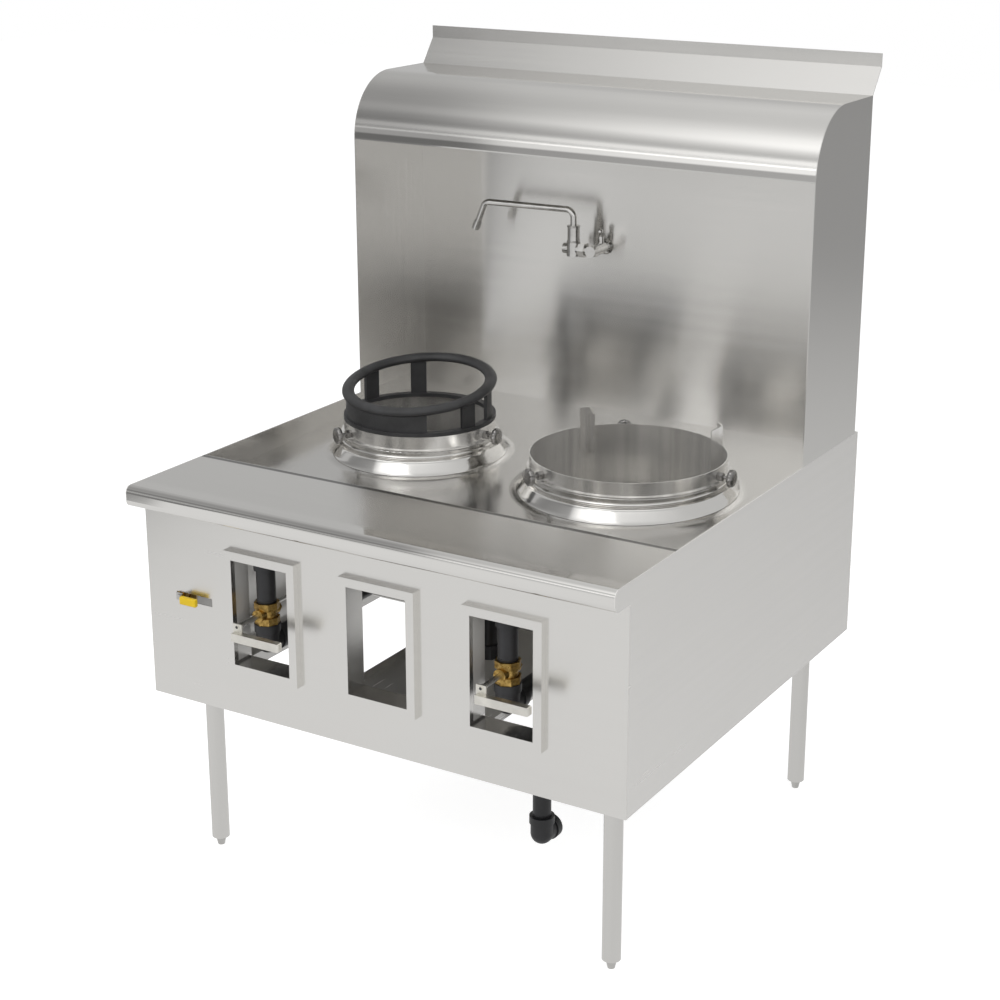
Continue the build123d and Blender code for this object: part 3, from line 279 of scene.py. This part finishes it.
def streaked_steel():
    """Spun chamber steel: long vertical light and dark streaks."""
    material = brushed_steel("steel_chamber", ALONG_Z, tone=0.95, rough=(0.15, 0.21), anisotropy=0.5)
    tree, shader = parts_of(material)
    streak = stretched_noise(tree, CHAMBER_STRETCH, CHAMBER_SCALE, detail=FINE_DETAIL)
    tinted_by(tree, shader, ramp(tree, streak, *CHAMBER_STREAKS))
    shader.inputs["Metallic"].default_value = CHAMBER_METAL
    return material


def side_finish():
    """Side panel steel: brushed outside, a paler mill finish on the inner face."""
    material = brushed_steel("steel_sides", ALONG_Y)
    tree, shader = parts_of(material)
    metal = by_place(tree, "X", inner_faces("side_panel_right", SIDE_INNER_METAL))
    tree.links.new(metal, shader.inputs["Metallic"])
    return material


def riser_finish():
    """Riser side steel: brushed upright, a little darker on the inner face."""
    material = brushed_steel("steel_risers", ALONG_Z)
    tree, shader = parts_of(material)
    tinted_by(tree, shader, by_place(tree, "X", inner_faces("riser_side_right", RISER_INNER_TONE)))
    return material


def window_finish(name, sleeve_metal):
    """Window frame steel: brushed bezel in front, a paler mill finish on the sleeve's upright walls."""
    material = brushed_steel(name, ALONG_X)
    tree, shader = parts_of(material)
    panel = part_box("front_panel")[0][1]
    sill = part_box("window_frame_left")[0][2] + SLEEVE_SILL
    behind_panel = by_place(tree, "Y", step(
        (panel - MARGIN, panel - 1 * MM, panel, panel + MARGIN), 1, sleeve_metal))
    above_sill = by_place(tree, "Z", step(
        (sill - MARGIN, sill, sill + SLEEVE_BLEND, sill + 5 * MARGIN), 1, sleeve_metal))
    metal = computed(tree, "MAXIMUM", behind_panel, above_sill)
    tree.links.new(metal, shader.inputs["Metallic"])
    return material


def mill_steel(name, grain):
    """Plain steel inside the cabinet: paler and less bright than the brushed faces."""
    material = brushed_steel(name, grain, tone=0.80, rough=(0.22, 0.30))
    parts_of(material)[1].inputs["Metallic"].default_value = MILL_METAL
    return material


def aged_brass():
    """Cast brass with amber and brown patches."""
    material, tree, shader = new_material("valve_brass")
    patch = stretched_noise(tree, EVEN, BRASS_PATCH_SCALE)
    grain = stretched_noise(tree, EVEN, BRASS_GRAIN_SCALE)
    shaded_by(tree, shader, ramp(tree, patch, 0, 1), BROWN, AMBER)
    tree.links.new(ramp(tree, patch, *BRASS_ROUGH), shader.inputs["Roughness"])
    shader.inputs["Metallic"].default_value = 1.0
    bump(tree, shader, grain, BRASS_RELIEF, BRASS_DEPTH)
    return material


def polished_metal(name, colour, rough, relief=0.05):
    """Turned, plated or cast metal with a fine even grain."""
    material, tree, shader = new_material(name)
    grain = stretched_noise(tree, EVEN, METAL_GRAIN_SCALE)
    cloud = stretched_noise(tree, EVEN, METAL_CLOUD_SCALE)
    clouded(tree, shader, ramp(tree, cloud, 0, 1), colour, METAL_DARKER, METAL_LIGHTER)
    roughness = ramp(tree, cloud, rough * METAL_SMOOTHER, rough * METAL_ROUGHER)
    tree.links.new(roughness, shader.inputs["Roughness"])
    shader.inputs["Metallic"].default_value = 1.0
    bump(tree, shader, grain, relief, METAL_DEPTH)
    return material


def coated(name, colour, rough, grain_scale, relief, spread=0.3):
    """Paint, cast iron or plastic: a dielectric with grain and a slight change of tone."""
    material, tree, shader = new_material(name)
    grain = stretched_noise(tree, EVEN, grain_scale, detail=FINE_DETAIL)
    cloud = stretched_noise(tree, EVEN, COAT_CLOUD_SCALE)
    clouded(tree, shader, ramp(tree, cloud, 0, 1), colour, 1 - spread, 1 + spread)
    roughness = ramp(tree, grain, rough * COAT_SMOOTHER, rough * COAT_ROUGHER)
    tree.links.new(roughness, shader.inputs["Roughness"])
    bump(tree, shader, grain, relief, COAT_DEPTH)
    return material


steel_x = brushed_steel("steel_brushed_x", ALONG_X)
splash_steel = brushed_steel("steel_splash", ALONG_X, rough=(0.19, 0.22), anisotropy=0.95, relief=0.006)
deck_steel = brushed_steel("steel_deck", ALONG_X, tone=0.72, rough=(0.16, 0.23), anisotropy=0.4)
skirt_steel = brushed_steel("steel_skirt", ALONG_Z, tone=0.88, rough=(0.10, 0.14), anisotropy=0.0)
leg_steel = brushed_steel("steel_legs", ALONG_Z, tone=0.74, rough=(0.20, 0.28), anisotropy=0.3)
inner_steel = mill_steel("steel_inner", ALONG_Y)
window_steel = window_finish("steel_windows", sleeve_metal=0.55)
middle_window_steel = window_finish("steel_window_middle", sleeve_metal=0.95)
plated = polished_metal("plated_steel", (0.62, 0.61, 0.59), rough=0.28)
chrome = polished_metal("faucet_chrome", (0.70, 0.69, 0.67), rough=0.16, relief=0.02)
satin = polished_metal("handle_satin", (0.84, 0.82, 0.76), rough=0.36)
knob_steel = polished_metal("knob_steel", (0.36, 0.35, 0.34), rough=0.24)
black_pipe = coated("black_pipe", (0.022, 0.022, 0.024), rough=0.42, grain_scale=500.0, relief=0.2)
cast_black = coated("cast_black", (0.034, 0.034, 0.035), rough=0.48, grain_scale=420.0, relief=0.45)
burner_iron = coated("burner_iron", (0.075, 0.070, 0.064), rough=0.62, grain_scale=300.0, relief=0.5)
yellow_vinyl = coated(
    "yellow_vinyl", (0.80, 0.55, 0.01), rough=0.32, grain_scale=250.0, relief=0.08, spread=0.06)

FINISHES = (
    (canopy_finish(), "canopy"),
    (ledge_finish_and_painted_shade(), "front_ledge"),
    (steel_x, "front_panel back_panel riser_back"),
    (window_steel, "window_frame_left window_frame_right"),
    (middle_window_steel, "window_frame_middle"),
    (splash_steel, "back_splash"),
    (deck_steel, "deck"),
    (side_finish(), "side_panel_left side_panel_right"),
    (inner_steel, "bottom_pan base_channel_left base_channel_right cross_rails"),
    (riser_finish(), "riser_side_left riser_side_right"),
    (streaked_steel(), "chamber_left chamber_right"),
    (leg_steel, "leg_front_left leg_front_right leg_rear_left leg_rear_right"),
    (plated, """burner_studs valve_stem_left valve_stem_right pilot_tubing shutoff_lever
        foot_front_left foot_front_right foot_rear_left foot_rear_right"""),
    (satin, "valve_handle_left valve_handle_right"),
    (knob_steel, "collar_screws_left collar_screws_right"),
    (chrome, "faucet_shank faucet_body faucet_lever faucet_spout"),
    (aged_brass(), "valve_body_left valve_body_right shutoff_valve"),
    (black_pipe, """manifold manifold_caps riser_pipe_left riser_pipe_right
        valve_elbow_left valve_elbow_right feed_pipe_left feed_pipe_right supply_pipe
        supply_elbow drop_pipe inlet_elbow sediment_trap"""),
    (cast_black, "wok_ring"),
    (burner_iron, "burner_left burner_right"),
)
for finish, names in FINISHES:
    for name in names.split():
        slots = nodes[name].data.materials
        slots.clear()
        slots.append(finish)


# ---------------------------------------------------------------- making a detail piece
def add_piece(name, mesh, material, body, smooth=True):
    """Puts a mesh in the scene as a piece that rides on a body of the frame."""
    mesh.polygons.foreach_set("use_smooth", [smooth] * len(mesh.polygons))
    mesh.materials.append(material)
    mesh.update()
    piece = bpy.data.objects.new(name, mesh)
    scene.collection.objects.link(piece)
    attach(piece, body)


def skin(name, points, faces):
    """A mesh of points and faces."""
    mesh = bpy.data.meshes.new(name)
    mesh.from_pydata([tuple(point) for point in points], [], faces)
    return mesh


def turned(profile, place, turns):
    """Rings of points round an axis, joined to a closed lathe skin: (points, faces).

    place(radius, height, angle) gives the point of a profile entry at an angle.
    """
    points = []
    for turn in range(turns):
        angle = 2 * math.pi * turn / turns
        points += [place(radius, height, angle) for radius, height in profile]
    count = len(profile)
    faces = []
    for turn in range(turns):
        here, there = turn * count, (turn + 1) % turns * count
        for i in range(count):
            j = (i + 1) % count
            faces.append((here + i, there + i, there + j, here + j))
    return points, faces


def upright(x, y, foot):
    """A lathe's place function round a vertical axis, with heights from foot."""
    def place(radius, height, angle):
        return x + radius * math.cos(angle), y + radius * math.sin(angle), foot + height

    return place


def joined(parts):
    """Several (points, faces) skins as one."""
    points, faces = [], []
    for new_points, new_faces in parts:
        faces += [[len(points) + corner for corner in face] for face in new_faces]
        points += new_points
    return points, faces


def in_metres(profile):
    """A profile given in millimetres, in metres."""
    return [(radius * MM, height * MM) for radius, height in profile]


def middle(node):
    """The middle of a node's box."""
    low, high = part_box(node)
    return [(a + b) / 2 for a, b in zip(low, high)]


# ---------------------------------------------------------------- detail pieces
ROUND_STEPS = 48
DECK_SHEET = 2 * MM
SKIRT_STEPS = 160
# offset from the chamber's wall and height over the deck: down the outside, back up inside
SKIRT_PROFILE = in_metres((
    (0.4, 45.0), (1.4, 46.0), (2.9, 45.6), (4.0, 44.0), (4.4, 41.8), (3.9, 39.2), (2.7, 37.2),
    (1.9, 35.4), (1.9, 33.4), (3.2, 29.4), (5.2, 26.2), (10.0, 19.4), (15.0, 12.2), (17.5, 8.8),
    (19.5, 6.6), (21.0, 5.3), (22.5, 4.2), (21.0, 4.9), (15.0, 8.9), (8.0, 16.1), (2.4, 26.1),
    (0.9, 32.0),
))
SOCKET_SIDES = 6
SOCKET_STANDOFF = 6 * MM
SOCKET_PROFILE = in_metres(((3.6, 0.0), (3.5, 0.3), (2.6, 0.5), (2.4, 0.2), (0.2, 0.1), (0.2, 0.0)))
KNOBS = 3
KNOB_SCALLOP = 0.035  # depth of a scallop, as a share of the radius
KNOB_SCALLOPS = 12
KNOB_FLAT = 15 * MM  # the scallops start outside this radius
KNOB_STEPS = 8 * KNOB_SCALLOPS
KNOB_PROFILE = in_metres((
    (4.6, -12.0), (15.5, -12.0), (18.2, -10.6), (19.4, -8.0), (19.4, -4.0), (18.4, -1.0),
    (16.2, 0.8), (10.0, 1.8), (4.0, 2.1), (0.3, 2.2), (0.3, -3.0), (4.6, -11.0),
))
THREAD_TURNS = 3
THREAD_PITCH = 2.2 * MM
ROOT_AT, CREST_AT = 0.15, 0.5  # places in a turn of the thread
THREAD_CORE, THREAD_ROOT, THREAD_CREST = -1.0 * MM, 0.1 * MM, 0.9 * MM  # from the pipe's surface
GRIP_LENGTH = 45 * MM
GRIP_DEPTH = 9 * MM
GRIP_SKIN = 0.9 * MM
GRIP_ROUNDING, GRIP_SEGMENTS = 3.2 * MM, 5
SLEEVE_RING = in_metres(((14.6, 0.0), (15.8, 0.2), (16.6, 1.3), (16.6, 2.7), (15.8, 3.8), (14.6, 4.0)))
SLEEVE_RING_FEET = (0.5 * MM, 37.5 * MM)  # heights of the two rings over the spout's joint


def collar_skirt(side):
    """The crest bead and flared foot of a drawn collar, laid round it on the sloping deck."""
    front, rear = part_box("front_ledge")[1][1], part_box("back_splash")[1][1]
    front_height, rear_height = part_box("deck")[0][2] + DECK_SHEET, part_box("back_splash")[0][2]
    slope = (rear_height - front_height) / (rear - front)
    centre = middle(f"chamber_{side}")
    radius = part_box(f"chamber_{side}")[1][0] - centre[0]

    def place(offset, height, angle):
        x = centre[0] + (radius + offset) * math.cos(angle)
        y = centre[1] + (radius + offset) * math.sin(angle)
        return x, y, front_height + slope * (y - front) + height

    name = f"collar_skirt_{side}"
    mesh = skin(name, *turned(SKIRT_PROFILE, place, SKIRT_STEPS))
    add_piece(name, mesh, skirt_steel, "range")


def socket_shade_disc(side):
    """A dark hexagon disc for the socket in the screw that holds a handle's hub on its stem; its black is
    painted shade for the socket's recess.
    """
    x, _, z = middle(f"valve_stem_{side}")
    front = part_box(f"valve_stem_{side}")[0][1] - SOCKET_STANDOFF

    def place(radius, height, angle):
        return x + radius * math.cos(angle), front - height, z + radius * math.sin(angle)

    name = f"socket_shade_disc_{side}"
    mesh = skin(name, *turned(SOCKET_PROFILE, place, SOCKET_SIDES))
    # painted shade: the black colour stands in for the shade inside the socket's recess
    add_piece(name, mesh, black_pipe, f"handle_{side}", smooth=False)


def knob_at(hub, bearing):
    """A scalloped, domed grip whose axis points outward at a bearing: (points, faces)."""
    outward = Vector((math.cos(bearing), math.sin(bearing), 0))
    across = Vector((-math.sin(bearing), math.cos(bearing), 0))

    def place(radius, height, angle):
        scallop = 1 + KNOB_SCALLOP * math.cos(KNOB_SCALLOPS * angle) * (radius > KNOB_FLAT)
        spoke = math.cos(angle) * across + Vector((0, 0, math.sin(angle)))
        return hub + height * outward + radius * scallop * spoke

    return turned(KNOB_PROFILE, place, KNOB_STEPS)


def clamp_knobs(side):
    """Grips over the flat thumb knobs of one collar's three screws."""
    x, y, _ = middle(f"chamber_{side}")
    level = middle(f"collar_screws_{side}")[2]
    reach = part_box(f"collar_screws_{side}")[1][0] - x
    knobs = []
    for knob in range(KNOBS):
        bearing = 2 * math.pi * knob / KNOBS
        hub = Vector((x + reach * math.cos(bearing), y + reach * math.sin(bearing), level))
        knobs.append(knob_at(hub, bearing))
    name = f"clamp_knobs_{side}"
    add_piece(name, skin(name, *joined(knobs)), knob_steel, "range")


def pipe_thread(name, pipe, fitting):
    """Rolled threads on an upright pipe, from the top of its fitting upward."""
    x, y, _ = middle(pipe)
    low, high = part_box(pipe)
    surface = (high[0] - low[0]) / 2
    top = THREAD_TURNS * THREAD_PITCH
    profile = [(surface + THREAD_CORE, 0.0)]
    for turn in range(THREAD_TURNS):
        profile.append((surface + THREAD_ROOT, (turn + ROOT_AT) * THREAD_PITCH))
        profile.append((surface + THREAD_CREST, (turn + CREST_AT) * THREAD_PITCH))
    profile += [(surface + THREAD_ROOT, top), (surface + THREAD_CORE, top)]
    mesh = skin(name, *turned(profile, upright(x, y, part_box(fitting)[1][2]), ROUND_STEPS))
    add_piece(name, mesh, black_pipe, "range")


def lever_grip():
    """The dipped vinyl grip over the end of the shut-off lever, a sleeve with rounded edges."""
    lever_low, lever_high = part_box("shutoff_lever")
    low = (lever_high[0] - GRIP_LENGTH, lever_low[1] - GRIP_SKIN, lever_low[2] - GRIP_SKIN)
    high = (lever_high[0] + GRIP_SKIN, lever_low[1] + GRIP_DEPTH + GRIP_SKIN, lever_high[2] + GRIP_SKIN)
    block = bmesh.new()
    bmesh.ops.create_cube(block, size=1.0)
    bmesh.ops.scale(block, vec=[b - a for a, b in zip(low, high)], verts=block.verts)
    bmesh.ops.translate(block, vec=[(a + b) / 2 for a, b in zip(low, high)], verts=block.verts)
    bmesh.ops.bevel(
        block, geom=block.edges[:], offset=GRIP_ROUNDING, segments=GRIP_SEGMENTS, profile=0.5,
        affect="EDGES",
    )
    mesh = bpy.data.meshes.new("shutoff_grip")
    block.to_mesh(mesh)
    block.free()
    add_piece("shutoff_grip", mesh, yellow_vinyl, "pilot_lever")


def sleeve_rings():
    """Turned rings at both ends of the faucet's upright sleeve."""
    joints = frame["record"]["behaviour"]["joints"]
    x, y, foot = next(joint for joint in joints if joint["name"] == "spout_swing")["pos_m"]
    rings = [
        turned([(radius, start + height) for radius, height in SLEEVE_RING], upright(x, y, foot), ROUND_STEPS)
        for start in SLEEVE_RING_FEET
    ]
    add_piece("sleeve_rings", skin("sleeve_rings", *joined(rings)), chrome, "spout")


for side in ("left", "right"):
    collar_skirt(side)
    socket_shade_disc(side)
    clamp_knobs(side)
    pipe_thread(f"riser_thread_{side}", f"riser_pipe_{side}", f"valve_body_{side}")
lever_grip()
sleeve_rings()
pipe_thread("drop_thread", "drop_pipe", "inlet_elbow")


# ---------------------------------------------------------------- studio
def by_elevation(*bands):
    """Turns (degrees above the horizon, level) pairs into (sine, level) pairs."""
    return [(math.sin(math.radians(degrees)), level) for degrees, level in bands]


TO_FRONT = (-0.5, -0.86, 0)  # from the range to the brighter side of the studio
FLOOR_REACH = 14.0
FLOOR_PAINT = 0.5
FLOOR_GLOW = 0.80  # brings the floor to white for the camera, except in the shadow
FLOOR_LEVELS = (
    (-8.0, 0.35), (-7.0, 0.35), (-4.0, 0.56), (-1.5, 0.67), (1.5, 0.76), (3.0, 0.78), (5.0, 0.72),
    (8.0, 0.62),
)
# the darker part of the floor that the steel mirrors: its level, and where it starts
FLOOR_SHADE = 0.22
SHADE_CENTRE = (0, -0.55, 0)
SHADE_FROM_CENTRE = step((0, 2.9, 3.3, 20), 0, 1)
SHADE_EDGE = (-0.84, 0.542, 0)
SHADE_PAST_EDGE = step((-9, 0.50, 0.56, 9), 0, 1)
SHADE_TO_FRONT = step((-9, 0, 0.5, 9), 0, 1)
WORLD_LIGHT = 0.55
FRONT_START, FRONT_END = -0.7, 0.7  # the sky passes from its back to its front between these
FRONT_BANDS = by_elevation(
    (-90, 0.4), (-0.5, 0.4), (0.5, 0.62), (1.5, 0.92), (8, 0.92), (8.6, 1.6), (10.2, 1.6), (10.8, 0.82),
    (11.6, 0.48), (13, 0.48), (13.8, 1.05), (20, 1.05), (20.8, 0.55), (26, 0.50), (33, 0.62), (41, 0.86),
    (50, 0.73), (58, 0.65), (62, 0.60), (75, 0.57), (90, 0.55),
)
FRONT_SIDES = (
    (-1.0, 0.45), (-0.56, 0.40), (-0.53, 0.42), (-0.515, 0.86), (-0.45, 1.0), (-0.39, 1.12),
    (-0.1, 1.12), (0.3, 1.0), (1.0, 1.0),
)
BACK_BANDS = by_elevation((-90, 0.3), (0, 0.3), (4, 0.50), (7, 0.53), (40, 0.53), (62, 0.57), (90, 0.55))
# a soft light box high in front
BOX_BANDS = by_elevation((-90, 0), (25, 0), (38, 1), (52, 1), (62, 0.5), (75, 0), (90, 0))
BOX_SIDES = (
    (-1.0, 0), (-0.5, 0), (-0.39, 0.30), (-0.31, 0.30), (-0.23, 1.2), (0.06, 1.2), (0.15, 0.1),
    (1.0, 0.1),
)
LAMP_AIM = (0, 0, 0.8)


def floor_gloss(tree):
    """The level of the floor in reflections: by how far in front, less in its darker part."""
    place = made(tree, "TexCoord").outputs["Object"]
    frontward = along(tree, place, TO_FRONT)
    past_edge = along(tree, place, SHADE_EDGE)
    distance = made(tree, "VectorMath", {0: place, 1: SHADE_CENTRE}, operation="DISTANCE")
    shade = computed(
        tree, "MULTIPLY",
        level_ramp(tree, distance.outputs["Value"], SHADE_FROM_CENTRE),
        level_ramp(tree, past_edge, SHADE_PAST_EDGE),
    )
    shade = computed(tree, "MULTIPLY", level_ramp(tree, frontward, SHADE_TO_FRONT), shade)
    plain = level_ramp(tree, frontward, FLOOR_LEVELS)
    mix = made(tree, "Mix", {MIX_FACTOR: shade, MIX_A: plain, MIX_B: grey(FLOOR_SHADE)}, data_type="RGBA")
    return mix.outputs[MIX_RESULT]


def make_floor():
    """A pale floor that takes the range's shadow and stays white to the camera.

    In gloss it only glows, with the levels of floor_gloss.
    """
    mesh = bpy.data.meshes.new("studio_floor")
    corners = [(x * FLOOR_REACH, y * FLOOR_REACH, 0) for x, y in ((-1, -1), (1, -1), (1, 1), (-1, 1))]
    mesh.from_pydata(corners, [], [(0, 1, 2, 3)])
    floor = bpy.data.objects.new("studio_floor", mesh)
    scene.collection.objects.link(floor)
    material = bpy.data.materials.new("floor_white")
    material.use_nodes = True
    tree = material.node_tree
    tree.nodes.clear()
    path = made(tree, "LightPath").outputs
    paint = made(tree, "BsdfDiffuse", {"Color": grey(FLOOR_PAINT)})
    to_camera = computed(tree, "MULTIPLY", path["Is Camera Ray"], FLOOR_GLOW)
    paint_glow = made(tree, "Emission", {"Strength": to_camera})
    gloss_glow = made(tree, "Emission", {"Color": floor_gloss(tree)})
    painted = made(tree, "AddShader", {0: paint.outputs[0], 1: paint_glow.outputs[0]})
    seen = made(tree, "MixShader", {
        0: path["Is Glossy Ray"], 1: painted.outputs[0], 2: gloss_glow.outputs[0],
    })
    made(tree, "OutputMaterial", {"Surface": seen.outputs[0]})
    mesh.materials.append(material)


def area_light(name, place, size, power):
    """A soft square lamp aimed at the range; metal sees the studio instead."""
    data = bpy.data.lights.new(name, "AREA")
    data.shape = "RECTANGLE"
    data.size = data.size_y = size
    data.energy = power
    lamp = bpy.data.objects.new(name, data)
    lamp.location = place
    lamp.rotation_euler = (Vector(LAMP_AIM) - Vector(place)).to_track_quat("-Z", "Y").to_euler()
    lamp.visible_glossy = False
    scene.collection.objects.link(lamp)


def studio_sky(tree):
    """The studio in reflections: bands and a light box in front, an even sky behind."""
    sky = made(tree, "TexCoord").outputs["Generated"]
    split = made(tree, "SeparateXYZ", {"Vector": sky}).outputs
    frontness = made(tree, "MapRange", {
        "Value": along(tree, sky, TO_FRONT), "From Min": FRONT_START, "From Max": FRONT_END,
    }, interpolation_type="SMOOTHSTEP")

    def window(bands, sides):
        return computed(
            tree, "MULTIPLY", level_ramp(tree, split["Z"], bands), level_ramp(tree, split["X"], sides))

    front = computed(tree, "ADD", window(FRONT_BANDS, FRONT_SIDES), window(BOX_BANDS, BOX_SIDES))
    back = level_ramp(tree, split["Z"], BACK_BANDS)
    mix = made(tree, "Mix", {
        MIX_FACTOR: frontness.outputs["Result"], MIX_A: back, MIX_B: front,
    }, data_type="RGBA")
    return mix.outputs[MIX_RESULT]


def make_world():
    """White to the camera; a soft studio in reflections, brighter in front; plain light otherwise."""
    world = bpy.data.worlds.new("studio")
    scene.world = world
    world.use_nodes = True
    tree = world.node_tree
    tree.nodes.clear()
    path = made(tree, "LightPath").outputs
    shine = made(tree, "Background", {"Color": studio_sky(tree)})
    plain = made(tree, "Background", {"Color": grey(WORLD_LIGHT)})
    white = made(tree, "Background", {"Color": grey(1)})
    glossy = made(tree, "MixShader", {0: path["Is Glossy Ray"], 1: plain.outputs[0], 2: shine.outputs[0]})
    camera = made(tree, "MixShader", {0: path["Is Camera Ray"], 1: glossy.outputs[0], 2: white.outputs[0]})
    made(tree, "OutputWorld", {"Surface": camera.outputs[0]})


make_floor()
make_world()
area_light("key", place=(-3.2, -4.2, 3.6), size=2.5, power=130)
area_light("fill", place=(3.8, -2.6, 3.0), size=2.5, power=60)
area_light("top", place=(0, 0.2, 5.0), size=3.5, power=70)


# ---------------------------------------------------------------- camera
CAMERA_PLACE = Vector((2.2734, -3.7375, 2.3195))
CAMERA_ANGLES = (30.63, -17.78, 0.17)  # yaw to the left, pitch and roll, in degrees
CAMERA_SENSOR, CAMERA_LENS = 36.0, 72.12  # in millimetres
CAMERA_SHIFT = (-0.0306, -0.0380)
CAMERA_REACH = 60.0


def make_camera():
    """The photograph's viewpoint, fitted to the straight edges of the range."""
    yaw, pitch, roll = (math.radians(angle) for angle in CAMERA_ANGLES)
    ahead = Vector((-math.sin(yaw) * math.cos(pitch), math.cos(yaw) * math.cos(pitch), math.sin(pitch)))
    level = Vector((math.cos(yaw), math.sin(yaw), 0))
    upward = level.cross(ahead)
    right = math.cos(roll) * level + math.sin(roll) * upward
    up = -math.sin(roll) * level + math.cos(roll) * upward
    turn = Matrix((right, up, -ahead)).transposed().to_4x4()
    data = bpy.data.cameras.new("camera")
    data.sensor_width = CAMERA_SENSOR
    data.lens = CAMERA_LENS
    data.shift_x, data.shift_y = CAMERA_SHIFT
    data.clip_end = CAMERA_REACH
    camera = bpy.data.objects.new("camera", data)
    camera.matrix_world = Matrix.Translation(CAMERA_PLACE) @ turn
    scene.collection.objects.link(camera)
    scene.camera = camera


make_camera()
scene.view_settings.view_transform = "Standard"
